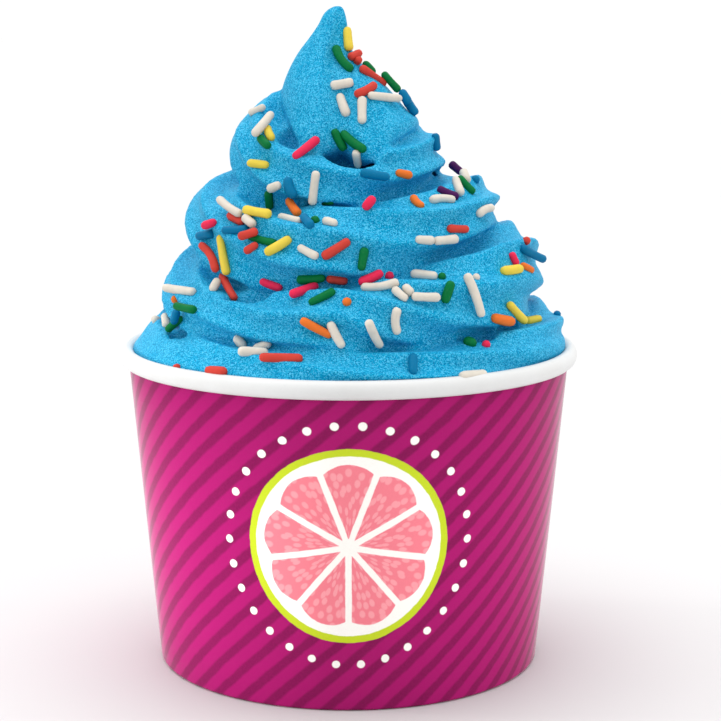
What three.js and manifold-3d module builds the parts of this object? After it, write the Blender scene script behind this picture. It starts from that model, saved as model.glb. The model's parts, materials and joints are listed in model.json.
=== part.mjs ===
// Frozen yogurt in a paper cup: a star-fluted rope piped in a tilted coil, drawn up
// into a bent peak, strewn with rod sprinkles.
// Units are millimetres, +Z is up, the origin is the centre of the cup's foot.

import * as THREE from 'three';
import { mergeVertices } from 'three/addons/utils/BufferGeometryUtils.js';
import Module from 'manifold-3d';

const wasm = await Module();
wasm.setup();

// ---------------------------------------------------------------- driving sizes

// Paper cup
const FOOT_RADIUS = 42.0;
const SHOULDER_RADIUS = 48.0;
const SHOULDER_HEIGHT = 66.0;
const PAPER = 0.6;
const RIM_RADIUS = 48.4;
const RIM_HEIGHT = 68.0;
const RIM_HALF_WIDTH = 1.6;
const RIM_HALF_HEIGHT = 2.0;
const SKIRT_HEIGHT = 7.0;
const SKIRT_DEPTH = 1.6;
const DISC_THICKNESS = 0.8;
const GAP = 0.3;
const ROUND_STEPS = 60;

// Coil of yogurt. Turns count downwards from the left of the peak, and each table
// holds a value for each eighth of a turn, from the left by the front to the right.
const TABLE_START = -1;
const TABLE_ENTRIES = 8;
const CREVICE_HEIGHTS = [
  126.0, 123.2, 121.0, 119.4, 118.5, 118.2, 118.5, 120.4,
  120.0, 116.2, 112.5, 114.3, 116.5, 114.4, 111.0, 107.4,
  104.5, 100.8, 100.4, 103.2, 105.5, 103.4, 99.0, 93.6,
  88.6, 84.0, 85.8, 90.8, 95.0, 92.2, 86.5, 80.4,
  74.8, 72.4, 73.6, 75.0, 76.0, 75.4, 73.0, 69.6,
  66.5, 65.4, 65.0, 64.5, 64.0, 63.2, 62.0, 59.6,
  57.0, 54.9, 53.0, 50.9, 49.0, 47.6, 47.0, 46.0,
];
const COIL_RADII = [
  4.0, 7.9, 9.0, 8.9, 9.0, 10.4, 12.0, 12.7,
  13.0, 13.2, 13.5, 14.1, 15.0, 16.3, 18.0, 20.4,
  22.8, 24.2, 25.0, 24.8, 24.8, 26.6, 29.0, 31.2,
  33.2, 34.5, 35.5, 36.2, 36.8, 37.4, 38.0, 39.4,
  40.9, 42.0, 43.0, 43.4, 43.6, 44.2, 45.0, 46.2,
  46.9, 47.6, 47.6, 48.1, 48.5, 48.6, 48.5, 48.2,
  48.0, 48.0, 48.0, 48.0, 48.0, 48.0, 48.0, 48.0,
];
const COIL_FIRST_TURN = 0.45;
const COIL_LAST_TURN = 5.2;
const STEPS_PER_TURN = 21;
const STEPS_PER_STRETCH = 7;
const LEAN = { amount: -3.3, low: 80, high: 104 };

// Rope section: it starts thin and low at its upper end, and is full a turn later
const ROPE_RADIUS = 10.0;
const START = { turn: 0.3, radiusShare: 0.6, fullRadius: 1.2, heightShare: 0.55, fullHeight: 0.8 };
const FLUTES = 7;
const POINTS_PER_FLUTE = 3;
const FLUTE_DEPTH = 2.3;
const SHALLOWEST_SHARE = 0.8;
const FLUTE_SOFTNESS = 0.012;
const FLUTE_TWISTS = [
  [1.16, 20], [1.2, 30], [1.25, 38], [1.336, 37], [1.39, 54], [1.49, 87], [2.13, 93],
  [2.19, 90], [2.246, 98], [2.3, 88], [2.34, 88], [2.38, 96], [2.43, 110], [2.55, 122],
  [3.1, 127], [3.18, 118], [3.21, 126], [3.242, 135], [3.262, 119], [3.284, 105],
  [3.306, 92], [3.33, 83], [3.38, 82], [3.42, 90], [3.5, 84], [4.05, 107], [4.1, 106],
  [4.13, 95], [4.19, 89], [4.25, 87], [4.3, 90], [5.0, 92],
];
const DEEPEST_FLUTES_AT = THREE.MathUtils.degToRad(-52);
const TURN_OVERLAP = { share: 1.13, extra: 1.0 };
const SQUARENESS = 0.8;
const INNERMOST_SHARE = 0.9;

// Hollow under the peak's front hem, where the top turn is pressed down
const DIP = { at: [-0.8, -14.5, 113.2], half: [9.8, 9.3, 4.3], first: 0.8, last: 1.7 };

// Peak: height, half width, sideways place and depth of its rings. Two folds meet in
// front, and the hem's height changes with the direction in degrees.
const PEAK_RINGS = [
  [109.4, 4.0, -1.0, -2.0],
  [110.6, 9.5, -1.0, -3.0],
  [111.8, 14.6, -1.0, -3.5],
  [112.6, 16.2, -1.0, -3.5],
  [114.0, 16.4, -0.9, -3.3],
  [116.5, 15.8, -0.6, -3.0],
  [120.0, 14.3, -0.9, -2.5],
  [123.1, 13.0, -1.9, -2.0],
  [126.7, 10.8, -3.1, -1.5],
  [130.0, 8.0, -4.5, -1.0],
  [133.0, 5.9, -4.9, -1.0],
  [136.3, 4.1, -4.1, -1.0],
  [139.0, 2.95, -3.2, -1.0],
  [141.0, 1.9, -2.5, -1.0],
  [141.9, 0.8, -2.2, -1.0],
];
const PEAK_POINTS = 32;
const PEAK_FLUTES = 5;
const PEAK_FLUTE_SHARE = 0.05;
const PEAK_SOFTNESS = 0.03;
const PEAK_TWIST = THREE.MathUtils.degToRad(-70);
const FOLD = { at: [[110, -94], [119, -92], [128, -87], [133, -72], [142, -60]], width: 19 };
const FOLD_SHARE = 0.2;
const RIDGE = { turn: -21, width: 10, share: 0.05 };
const LIP = { at: [[110, -61], [114.7, -74], [119, -87], [124, -60]], width: 10 };
const LIP_SHARE = 0.06;
const LIP_FADE = { low: 117, high: 123 };
const HEM_LIFTS = [
  [-180, 1.5], [-150, 1.2], [-125, 0.4], [-106, 0], [-93, 1.2], [-80, -0.5], [-68, -1.6],
  [-61, -1.2], [-56, 0.6], [-47, 2.2], [-21, 4], [90, 3.5], [150, 2], [180, 1.5],
];
const HEM_FADE = { low: 113, high: 122 };

// Fill under the coil: height and radius of its rings
const CORE_RINGS = [
  [60, 44], [70, 40], [80, 34], [90, 28], [100, 20.5], [104, 17.5], [112, 11], [118, 7],
];
const CORE_POINTS = 24;

// Sprinkles
const SPRINKLE_COUNT = 78;
const SPRINKLE_RADIUS = 0.98;
const SPRINKLE_LENGTHS = [7.6, 4.4];
const SPRINKLE_SINK = 0.45;
const SPRINKLE_SPACING = 7.0;
const SPRINKLE_LOWEST = 74.5;
const SPRINKLE_HIGHEST = 132.0;
const SPRINKLE_SIDES = 6;
const SEED = 20;

// ---------------------------------------------------------------- small helpers

const { clamp, smoothstep } = THREE.MathUtils;

/** A repeatable stream of numbers from 0 to 1 (mulberry32). */
function seededRandom(seed) {
  let state = seed;
  return () => {
    state = (state + 0x6d2b79f5) | 0;
    let mixed = Math.imul(state ^ (state >>> 15), 1 | state);
    mixed = (mixed + Math.imul(mixed ^ (mixed >>> 7), 61 | mixed)) ^ mixed;
    return ((mixed ^ (mixed >>> 14)) >>> 0) / 4294967296;
  };
}

/** Catmull-Rom reading of a table of eighths of a turn. */
function readTable(table, turn) {
  const place = (turn - TABLE_START) * TABLE_ENTRIES;
  const index = clamp(Math.floor(place), 1, table.length - 3);
  const t = place - index;
  const [a, b, c, d] = table.slice(index - 1, index + 3);
  const bend = 2 * a - 5 * b + 4 * c - d + t * (3 * (b - c) + d - a);
  return b + 0.5 * t * (c - a + t * bend);
}

/** Straight-line reading of pairs of place and value. */
function between(pairs, place) {
  const last = pairs.length - 1;
  if (place <= pairs[0][0]) return pairs[0][1];
  if (place >= pairs[last][0]) return pairs[last][1];
  const after = pairs.findIndex(([at]) => at > place);
  const [low, first] = pairs[after - 1];
  const [high, second] = pairs[after];
  return THREE.MathUtils.mapLinear(place, low, high, first, second);
}

/** Bell curve: 1 at its middle, and near 0 two widths away. */
function bell(offset, width) {
  return Math.exp(-((offset / width) ** 2));
}

/** Keeps only positions, with shared vertices merged, as a closed body needs. */
function weld(geometry) {
  geometry.deleteAttribute('normal');
  geometry.deleteAttribute('uv');
  return mergeVertices(geometry, 1e-5);
}

/** Closed skin over rings of points that run anticlockwise seen from the last ring. */
function loft(rings) {
  const size = rings[0].length;
  const points = rings.flat();
  const ends = [rings[0], rings[rings.length - 1]];
  const centres = ends.map((ring) => {
    const sum = ring.reduce((total, point) => total.add(point), new THREE.Vector3());
    return sum.divideScalar(size);
  });
  const index = [];
  for (let row = 0; row < rings.length - 1; row += 1) {
    for (let side = 0; side < size; side += 1) {
      const next = (side + 1) % size;
      const low = row * size;
      const high = low + size;
      index.push(low + side, low + next, high + next);
      index.push(low + side, high + next, high + side);
    }
  }
  const firstCentre = points.length;
  const lastRow = (rings.length - 1) * size;
  for (let side = 0; side < size; side += 1) {
    const next = (side + 1) % size;
    index.push(firstCentre, next, side);
    index.push(firstCentre + 1, lastRow + side, lastRow + next);
  }
  const geometry = new THREE.BufferGeometry().setFromPoints([...points, ...centres]);
  geometry.setIndex(index);
  return geometry;
}

/** Body of revolution about +Z from a profile of [radius, height] points. */
function revolve(profile, steps = ROUND_STEPS) {
  const points = profile.map(([radius, height]) => new THREE.Vector2(radius, height));
  const geometry = new THREE.LatheGeometry(points, steps);
  geometry.rotateX(Math.PI / 2);
  return weld(geometry);
}

/** Turns a closed geometry into a solid for joining and cutting. */
function toSolid(geometry) {
  return new wasm.Manifold(new wasm.Mesh({
    numProp: 3,
    vertProperties: new Float32Array(geometry.attributes.position.array),
    triVerts: new Uint32Array(geometry.index.array),
  }));
}

/** Turns a solid back into a geometry. */
function toGeometry(solid) {
  const mesh = solid.getMesh();
  const geometry = new THREE.BufferGeometry();
  geometry.setAttribute('position', new THREE.BufferAttribute(mesh.vertProperties, 3));
  geometry.setIndex(new THREE.BufferAttribute(mesh.triVerts, 1));
  return geometry;
}

/** Joins solids, and keeps the one outer shell: loose scraps and sealed hollows go. */
function joinAll(solids) {
  const joined = solids.reduce((whole, next) => whole.add(next));
  const shells = joined.decompose();
  return shells.reduce((best, shell) => (shell.volume() > best.volume() ? shell : best));
}

// ---------------------------------------------------------------- paper cup

/** Outer radius of the cup's wall at a height. */
function wallRadius(height) {
  return FOOT_RADIUS + ((SHOULDER_RADIUS - FOOT_RADIUS) * height) / SHOULDER_HEIGHT;
}

/** Points of the rim's roll, an oval, between two angles in degrees. */
function rimArc(fromDegrees, toDegrees, steps, offset = 0) {
  return Array.from({ length: steps + 1 }, (_, step) => {
    const degrees = fromDegrees + ((toDegrees - fromDegrees) * step) / steps;
    const angle = THREE.MathUtils.degToRad(degrees);
    return [
      RIM_RADIUS + (RIM_HALF_WIDTH + offset) * Math.cos(angle),
      RIM_HEIGHT + (RIM_HALF_HEIGHT + offset) * Math.sin(angle),
    ];
  });
}

/** Side wall with its rolled rim and the folded skirt that carries the disc. */
function cupWallGeometry() {
  const profile = [
    [wallRadius(0) - SKIRT_DEPTH, 0],
    [wallRadius(0), 0],
    [wallRadius(SHOULDER_HEIGHT), SHOULDER_HEIGHT],
    ...rimArc(-90, 150, 8),
    [wallRadius(SHOULDER_HEIGHT) - PAPER, SHOULDER_HEIGHT],
    [wallRadius(SKIRT_HEIGHT) - PAPER, SKIRT_HEIGHT],
    [wallRadius(SKIRT_HEIGHT) - SKIRT_DEPTH, SKIRT_HEIGHT],
    [wallRadius(0) - SKIRT_DEPTH, 0],
  ];
  return revolve(profile);
}

/** Bottom disc, set up inside the skirt. */
function cupDiscGeometry() {
  const low = SKIRT_HEIGHT + GAP;
  const high = low + DISC_THICKNESS;
  const profile = [
    [0, low],
    [wallRadius(low) - PAPER - GAP, low],
    [wallRadius(high) - PAPER - GAP, high],
    [0, high],
  ];
  return revolve(profile);
}

// ---------------------------------------------------------------- yogurt

/** Yogurt inside the cup, from above the disc up to the rim. */
function fillSolid() {
  const low = SKIRT_HEIGHT + DISC_THICKNESS + 2 * GAP;
  const profile = [
    [0, low],
    [wallRadius(low) - PAPER - GAP, low],
    [RIM_RADIUS - RIM_HALF_WIDTH - GAP, RIM_HEIGHT - RIM_HALF_HEIGHT],
    [RIM_RADIUS - RIM_HALF_WIDTH - GAP, RIM_HEIGHT],
    [0, RIM_HEIGHT],
  ];
  return toSolid(revolve(profile));
}

/** Space of the upper wall and the rim's roll, with the gap, out past the yogurt. */
function wallSpaceSolid() {
  const inner = RIM_RADIUS - RIM_HALF_WIDTH - GAP;
  const outer = RIM_RADIUS + 12;
  const low = SHOULDER_HEIGHT / 2;
  const profile = [
    [wallRadius(low) - PAPER - GAP, low],
    [outer, low],
    [outer, RIM_HEIGHT],
    ...rimArc(0, 180, 8, GAP),
    [inner, SHOULDER_HEIGHT],
    [wallRadius(low) - PAPER - GAP, low],
  ];
  return toSolid(revolve(profile));
}

/** Sideways lean of the coil's axis at a height. */
function leanAt(height) {
  return LEAN.amount * smoothstep(height, LEAN.low, LEAN.high);
}

/** Flute wave along a section: 0 on a crest, 1 in a valley, with a soft crest. */
function fluteWave(halfAngle, softness) {
  return Math.sqrt(Math.sin(halfAngle) ** 2 + softness);
}

/** Depth of the flutes on the side that faces a direction round the axis. */
function fluteDepth(round) {
  const facing = clamp((Math.cos(round - DEEPEST_FLUTES_AT) + 1) / 1.4, 0, 1);
  return FLUTE_DEPTH * THREE.MathUtils.lerp(SHALLOWEST_SHARE, 1, facing);
}

/** Turn of the nozzle's flutes round the rope at a place along the coil. */
function fluteTwist(turn) {
  return THREE.MathUtils.degToRad(between(FLUTE_TWISTS, turn));
}

/** Presses a point of the top turn down to the floor of the hollow under the hem. */
function pressDown(point, turn) {
  const across = (point.x - DIP.at[0]) / DIP.half[0];
  const back = (point.y - DIP.at[1]) / DIP.half[1];
  const inside = 1 - across ** 2 - back ** 2;
  if (inside > 0 && turn > DIP.first && turn < DIP.last) {
    point.setZ(Math.min(point.z, DIP.at[2] - DIP.half[2] * Math.sqrt(inside)));
  }
  return point;
}

/** Point of the rope's skin at a turn, for an angle from outwards towards up. */
function ropePoint(turn, angle) {
  const round = 2 * Math.PI * turn - Math.PI;
  const thick = smoothstep(turn, START.turn, START.fullRadius);
  const tall = smoothstep(turn, START.turn, START.fullHeight);
  const radius = ROPE_RADIUS * THREE.MathUtils.lerp(START.radiusShare, 1, thick);
  const low = readTable(CREVICE_HEIGHTS, turn);
  const high = readTable(CREVICE_HEIGHTS, turn - 1);
  const half = ((high - low) / 2) * THREE.MathUtils.lerp(START.heightShare, 1, tall);
  const coil = readTable(COIL_RADII, turn) - radius;
  const wave = fluteWave((FLUTES * (angle - fluteTwist(turn) + round)) / 2, FLUTE_SOFTNESS);
  const reach = radius - fluteDepth(round) * wave;
  const cosine = Math.cos(angle);
  const squared = Math.sign(cosine) * Math.abs(cosine) ** SQUARENESS;
  const outwards = Math.max(reach * squared, -INNERMOST_SHARE * coil);
  const stretch = (TURN_OVERLAP.share * half + TURN_OVERLAP.extra) / radius;
  const height = low + half;
  const point = new THREE.Vector3(
    leanAt(height) + (coil + outwards) * Math.cos(round),
    (coil + outwards) * Math.sin(round),
    height + reach * Math.sin(angle) * stretch,
  );
  return pressDown(point, turn);
}

/** The coil, as short stretches of rope that share one step with the next. */
function coilSolids() {
  const points = FLUTES * POINTS_PER_FLUTE;
  const turns = COIL_LAST_TURN - COIL_FIRST_TURN;
  const count = Math.ceil((turns * STEPS_PER_TURN) / STEPS_PER_STRETCH);
  return Array.from({ length: count }, (_, part) => {
    const rings = Array.from({ length: STEPS_PER_STRETCH + 2 }, (__, step) => {
      const turn = COIL_FIRST_TURN + (part * STEPS_PER_STRETCH + step) / STEPS_PER_TURN;
      const round = 2 * Math.PI * turn - Math.PI;
      return Array.from({ length: points }, (___, point) => {
        const angle = fluteTwist(turn) - round - (2 * Math.PI * point) / points;
        return ropePoint(turn, angle);
      });
    });
    return toSolid(loft(rings));
  });
}

/** Half width of the peak at a height, as a share, in a direction given in degrees. */
function peakShare(height, degrees, twist) {
  const angle = THREE.MathUtils.degToRad(degrees);
  const wave = fluteWave((PEAK_FLUTES * (angle + twist)) / 2, PEAK_SOFTNESS);
  const foldAt = between(FOLD.at, height);
  const fold = bell(degrees - foldAt, FOLD.width);
  const ridge = bell(degrees - foldAt - RIDGE.turn, RIDGE.width);
  const lipFade = 1 - smoothstep(height, LIP_FADE.low, LIP_FADE.high);
  const lip = bell(degrees - between(LIP.at, height), LIP.width) * lipFade;
  const hollows = PEAK_FLUTE_SHARE * wave + FOLD_SHARE * fold;
  return 1 - hollows + LIP_SHARE * lip + RIDGE.share * ridge;
}

/** The peak: a bent spike of two folds on an uneven, overhanging hem. */
function peakSolid() {
  const [base] = PEAK_RINGS[0];
  const [top] = PEAK_RINGS[PEAK_RINGS.length - 1];
  const rings = PEAK_RINGS.map(([height, halfWidth, sideways, depth]) => {
    const twist = (PEAK_TWIST * (height - base)) / (top - base);
    const hemFade = 1 - smoothstep(height, HEM_FADE.low, HEM_FADE.high);
    return Array.from({ length: PEAK_POINTS }, (_, point) => {
      const degrees = (360 * point) / PEAK_POINTS - 180;
      const angle = THREE.MathUtils.degToRad(degrees);
      const reach = halfWidth * peakShare(height, degrees, twist);
      return new THREE.Vector3(
        sideways + reach * Math.cos(angle),
        depth + reach * Math.sin(angle),
        height + between(HEM_LIFTS, degrees) * hemFade,
      );
    });
  });
  return toSolid(loft(rings));
}

/** Fill inside the coil, leaning with it. */
function coreSolid() {
  const rings = CORE_RINGS.map(([height, radius]) => (
    Array.from({ length: CORE_POINTS }, (_, point) => {
      const angle = (2 * Math.PI * point) / CORE_POINTS;
      const across = leanAt(height) + radius * Math.cos(angle);
      return new THREE.Vector3(across, radius * Math.sin(angle), height);
    })));
  return toSolid(loft(rings));
}

/** Draws a point of a triangle, evenly over its area. */
function drawPoint(triangle, random) {
  const root = Math.sqrt(random());
  const share = random();
  return new THREE.Vector3()
    .addScaledVector(triangle.a, 1 - root)
    .addScaledVector(triangle.b, root * (1 - share))
    .addScaledVector(triangle.c, root * share);
}

/** Triangles of a geometry that face outwards or up, above the lowest sprinkle. */
function openTriangles(geometry) {
  const { position } = geometry.attributes;
  const { index } = geometry;
  const found = [];
  for (let first = 0; first < index.count; first += 3) {
    const corners = [0, 1, 2].map((corner) => (
      new THREE.Vector3().fromBufferAttribute(position, index.getX(first + corner))));
    const triangle = new THREE.Triangle(...corners);
    const normal = triangle.getNormal(new THREE.Vector3());
    const middle = triangle.getMidpoint(new THREE.Vector3());
    const outwards = middle.x * normal.x + middle.y * normal.y;
    const inReach = middle.z > SPRINKLE_LOWEST && middle.z < SPRINKLE_HIGHEST;
    if (inReach && normal.z > 0 && outwards > 0) {
      found.push({ triangle, normal, area: triangle.getArea() });
    }
  }
  return found;
}

/** Places of the sprinkles: evenly spread over the open skin, the longest first. */
function sprinklePlaces(geometry) {
  const random = seededRandom(SEED);
  const open = openTriangles(geometry);
  const total = open.reduce((sum, { area }) => sum + area, 0);
  const places = [];
  for (let tries = 0; places.length < SPRINKLE_COUNT && tries < 20000; tries += 1) {
    let left = random() * total;
    const pick = open.find(({ area }) => {
      left -= area;
      return left <= 0;
    }) ?? open[0];
    const point = drawPoint(pick.triangle, random);
    if (places.every((place) => place.point.distanceTo(point) > SPRINKLE_SPACING)) {
      const along = new THREE.Vector3(random() - 0.5, random() - 0.5, random() - 0.5);
      along.projectOnPlane(pick.normal).normalize();
      places.push({ point, normal: pick.normal, along });
    }
  }
  return places;
}

/** One rod sprinkle with blunt round ends, lying along its direction. */
function sprinkleSolid({ point, normal, along }, share) {
  const length = THREE.MathUtils.lerp(...SPRINKLE_LENGTHS, share);
  const radius = SPRINKLE_RADIUS;
  const half = length / 2;
  const profile = [
    [0, -half],
    [radius, -half + radius * 0.5],
    [radius, half - radius * 0.5],
    [0, half],
  ];
  const geometry = revolve(profile, SPRINKLE_SIDES);
  const side = new THREE.Vector3().crossVectors(along, normal);
  const basis = new THREE.Matrix4().makeBasis(normal, side, along);
  geometry.applyMatrix4(basis);
  const centre = point.clone().addScaledVector(normal, radius - SPRINKLE_SINK);
  geometry.translate(centre.x, centre.y, centre.z);
  return toSolid(geometry);
}

/** All the yogurt with its sprinkles, as one body clear of the cup. */
function yogurtGeometry() {
  const parts = [fillSolid(), coreSolid(), ...coilSolids(), peakSolid()];
  const plain = joinAll(parts).subtract(wallSpaceSolid());
  const places = sprinklePlaces(toGeometry(plain));
  const sprinkles = places.map((place, rank) => sprinkleSolid(place, rank / places.length));
  return toGeometry(joinAll([plain, ...sprinkles]));
}

// ---------------------------------------------------------------- the object

/** Names a mesh and gives it a finish of its own. */
function makePiece(name, geometry, color, roughness) {
  const material = new THREE.MeshStandardMaterial({ color, roughness, metalness: 0 });
  const mesh = new THREE.Mesh(geometry, material);
  mesh.name = name;
  return mesh;
}

const frozenYogurtCup = new THREE.Group();
frozenYogurtCup.add(
  makePiece('cup_wall', cupWallGeometry(), 0xb81e73, 0.45),
  makePiece('cup_disc', cupDiscGeometry(), 0xf2f0ec, 0.6),
  makePiece('yogurt', yogurtGeometry(), 0x2fa9d9, 0.5),
);

export default frozenYogurtCup;
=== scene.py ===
"""Frozen yogurt swirled high above a printed paper cup, scattered with rod sprinkles.

The cup is one rolled sheet of coated paper: wall, rolled rim and folded foot. The yogurt is a
star-nozzle rope laid in a leaning coil, ended in a pulled peak. The sprinkles are loose sugar rods.
"""

import json
import logging
import math
import random
from contextlib import contextmanager
from dataclasses import dataclass
from enum import Enum
from typing import Callable, Dict, Iterator, List, Mapping, Optional, Sequence, Tuple, Union

import bmesh
import bpy
import numpy as np
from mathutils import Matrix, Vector
from mathutils.bvhtree import BVHTree

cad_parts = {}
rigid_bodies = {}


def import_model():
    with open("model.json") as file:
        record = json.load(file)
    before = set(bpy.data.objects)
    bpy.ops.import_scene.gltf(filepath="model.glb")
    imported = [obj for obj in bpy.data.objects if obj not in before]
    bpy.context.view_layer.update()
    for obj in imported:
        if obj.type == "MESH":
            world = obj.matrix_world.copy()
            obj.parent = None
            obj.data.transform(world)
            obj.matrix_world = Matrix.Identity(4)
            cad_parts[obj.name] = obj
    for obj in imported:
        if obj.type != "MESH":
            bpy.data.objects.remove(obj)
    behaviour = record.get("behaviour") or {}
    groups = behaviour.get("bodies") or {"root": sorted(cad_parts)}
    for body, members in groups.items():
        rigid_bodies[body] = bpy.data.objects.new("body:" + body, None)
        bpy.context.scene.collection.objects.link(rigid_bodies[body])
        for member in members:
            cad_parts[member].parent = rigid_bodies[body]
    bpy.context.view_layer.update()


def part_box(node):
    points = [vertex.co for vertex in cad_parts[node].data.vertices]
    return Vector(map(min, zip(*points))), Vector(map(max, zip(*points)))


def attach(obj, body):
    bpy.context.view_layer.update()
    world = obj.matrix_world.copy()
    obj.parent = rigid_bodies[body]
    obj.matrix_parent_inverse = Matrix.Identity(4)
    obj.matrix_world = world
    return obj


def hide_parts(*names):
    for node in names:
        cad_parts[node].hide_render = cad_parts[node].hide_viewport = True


LOG = logging.getLogger("yogurt_cup")
MM = 0.001
TURN = 2 * math.pi

# How near two points have to be to count as one, in metres.
CLOSE = 1e-6

Span = Tuple[float, float]
Triple = Tuple[float, float, float]
Quad = Tuple[float, float, float, float]
Colour = Quad
Pairs = Tuple[Span, ...]
Feed = Union["Wire", float, Sequence[float]]
Sockets = Mapping[Union[str, int], Feed]
Piece = bpy.types.Object
Hit = Tuple[Optional[Vector], Optional[Vector], Optional[int], Optional[float]]

# A sprinkle on the camera's picture: x, y, length, slant and bend.
Entry = Tuple[float, float, float, float, float]

# Noise: the size of its blotches in millimetres, how many finer layers it has, and their strength.
Grain = Triple

# A bump: its depth in millimetres, and how much of it is used.
Relief = Span


def paint(red: int, green: int, blue: int) -> Colour:
    """Turns a screen colour into the linear one that a shader takes.

    Args:
        red: Red, 0 to 255.
        green: Green, 0 to 255.
        blue: Blue, 0 to 255.

    Returns:
        The linear colour with full alpha.
    """
    linear = []
    for part in (red, green, blue):
        share = part / 255
        linear.append(share / 12.92 if share <= 0.04045 else ((share + 0.055) / 1.055) ** 2.4)
    return (linear[0], linear[1], linear[2], 1.0)


# ---- shader recipes


class Wire:
    """A shader socket that takes part in Python sums; every operator adds its Math node."""

    def __init__(self, recipe: "Recipe", socket: bpy.types.NodeSocket) -> None:
        """Keeps the socket and the recipe that it belongs to."""
        self.recipe = recipe
        self.socket = socket

    def beside(self, output: Union[str, int]) -> "Wire":
        """Another output of the same node."""
        return Wire(self.recipe, self.socket.node.outputs[output])

    def __add__(self, other: Feed) -> "Wire":
        """The sum of two values."""
        return self.recipe.maths("ADD", self, other)

    def __sub__(self, other: Feed) -> "Wire":
        """This value less another."""
        return self.recipe.maths("SUBTRACT", self, other)

    def __rsub__(self, other: Feed) -> "Wire":
        """Another value less this one."""
        return self.recipe.maths("SUBTRACT", other, self)

    def __mul__(self, other: Feed) -> "Wire":
        """The product of two values."""
        return self.recipe.maths("MULTIPLY", self, other)


class Recipe:
    """One material while its nodes are laid out. Its place is that on the piece, in millimetres."""

    def __init__(self, name: str) -> None:
        """Starts an empty material.

        Args:
            name: The finish's name.
        """
        self.material = bpy.data.materials.new(name)
        self.material.use_nodes = True
        self.tree = self.material.node_tree
        self.tree.nodes.clear()
        place = self.wire("TexCoord", {}, "Object")
        self.place = self.wire("VectorMath", {0: place, "Scale": 1 / MM}, operation="SCALE")

    def node(self, kind: str, sockets: Sockets, **settings: object) -> bpy.types.Node:
        """Adds any node: its settings first, then the values or links of its sockets.

        Args:
            kind: The node's type, without the word that all shader nodes start with.
            sockets: Values or wires, by socket name or number.
            **settings: The node's own properties.

        Returns:
            The new node.
        """
        made = self.tree.nodes.new("ShaderNode" + kind)
        for name, value in settings.items():
            setattr(made, name, value)
        for name, value in sockets.items():
            if isinstance(value, Wire):
                self.tree.links.new(value.socket, made.inputs[name])
            else:
                made.inputs[name].default_value = value
        return made

    def wire(self, kind: str, sockets: Sockets, output: Union[str, int] = 0, **settings: object) -> Wire:
        """Adds a node as above, and gives one of its outputs."""
        return Wire(self, self.node(kind, sockets, **settings).outputs[output])

    def maths(self, operation: str, first: Feed, second: Feed = 0.0) -> Wire:
        """Adds a Math node for one value or two."""
        return self.wire("Math", {0: first, 1: second}, operation=operation)

    def parts(self, vector: Wire) -> Tuple[Wire, Wire, Wire]:
        """Splits a vector into its three numbers."""
        first = self.wire("SeparateXYZ", {0: vector})
        return first, first.beside(1), first.beside(2)

    def noise(self, grain: Grain) -> Wire:
        """Adds soft noise.

        Args:
            grain: The size and the layers of its blotches.

        Returns:
            A value around one half.
        """
        size, detail, roughness = grain
        sockets = {"Vector": self.place, "Scale": 1 / size, "Detail": detail, "Roughness": roughness}
        return self.wire("TexNoise", sockets, "Fac")

    def step(self, value: Wire, low: float, high: float) -> Wire:
        """Rises smoothly from 0 where a value is low to 1 where it is high."""
        sockets = {"Value": value, "From Min": low, "From Max": high}
        return self.wire("MapRange", sockets, interpolation_type="SMOOTHSTEP")

    def beyond(self, value: Wire, edge: float, soft: float) -> Wire:
        """Gives 1 where a value is past an edge and 0 before it, softened on both sides."""
        return self.step(value, edge - soft, edge + soft)

    def blend(self, share: Feed, first: Feed, second: Feed, way: str = "MIX") -> Wire:
        """Mixes two colours.

        Args:
            share: How much of the second colour there is.
            first: The first colour.
            second: The second colour.
            way: The blend type.

        Returns:
            The mixed colour.
        """
        sockets = {0: share, 6: first, 7: second}
        return self.wire("Mix", sockets, 2, data_type="RGBA", blend_type=way)

    def shade(self, colour: Feed, share: Wire, low: float, high: float) -> Wire:
        """Makes a colour darker and lighter by a value.

        Args:
            colour: The colour.
            share: A value from 0 to 1.
            low: The colour's strength where the value is 0.
            high: Its strength where the value is 1.

        Returns:
            The colour with its tones.
        """
        strength = share * (high - low) + low
        grey = self.wire("CombineColor", {0: strength, 1: strength, 2: strength})
        return self.blend(1.0, colour, grey, "MULTIPLY")

    def bump(self, height: Wire, relief: Relief, under: Optional[Wire] = None) -> Wire:
        """Turns a height into a bumped normal.

        Args:
            height: The height, where 1 stands for the whole relief.
            relief: The relief in millimetres, and how much of it is used.
            under: A bumped normal that this one lies on.

        Returns:
            The normal.
        """
        distance, strength = relief
        lower = {} if under is None else {"Normal": under}
        return self.wire("Bump", {"Height": height, "Distance": distance * MM, "Strength": strength, **lower})

    def finish(self, sockets: Sockets) -> bpy.types.Material:
        """Closes the recipe with its surface, and gives the finished material."""
        self.node("OutputMaterial", {0: self.wire("BsdfPrincipled", sockets)})
        return self.material


# ---- finishes


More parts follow.
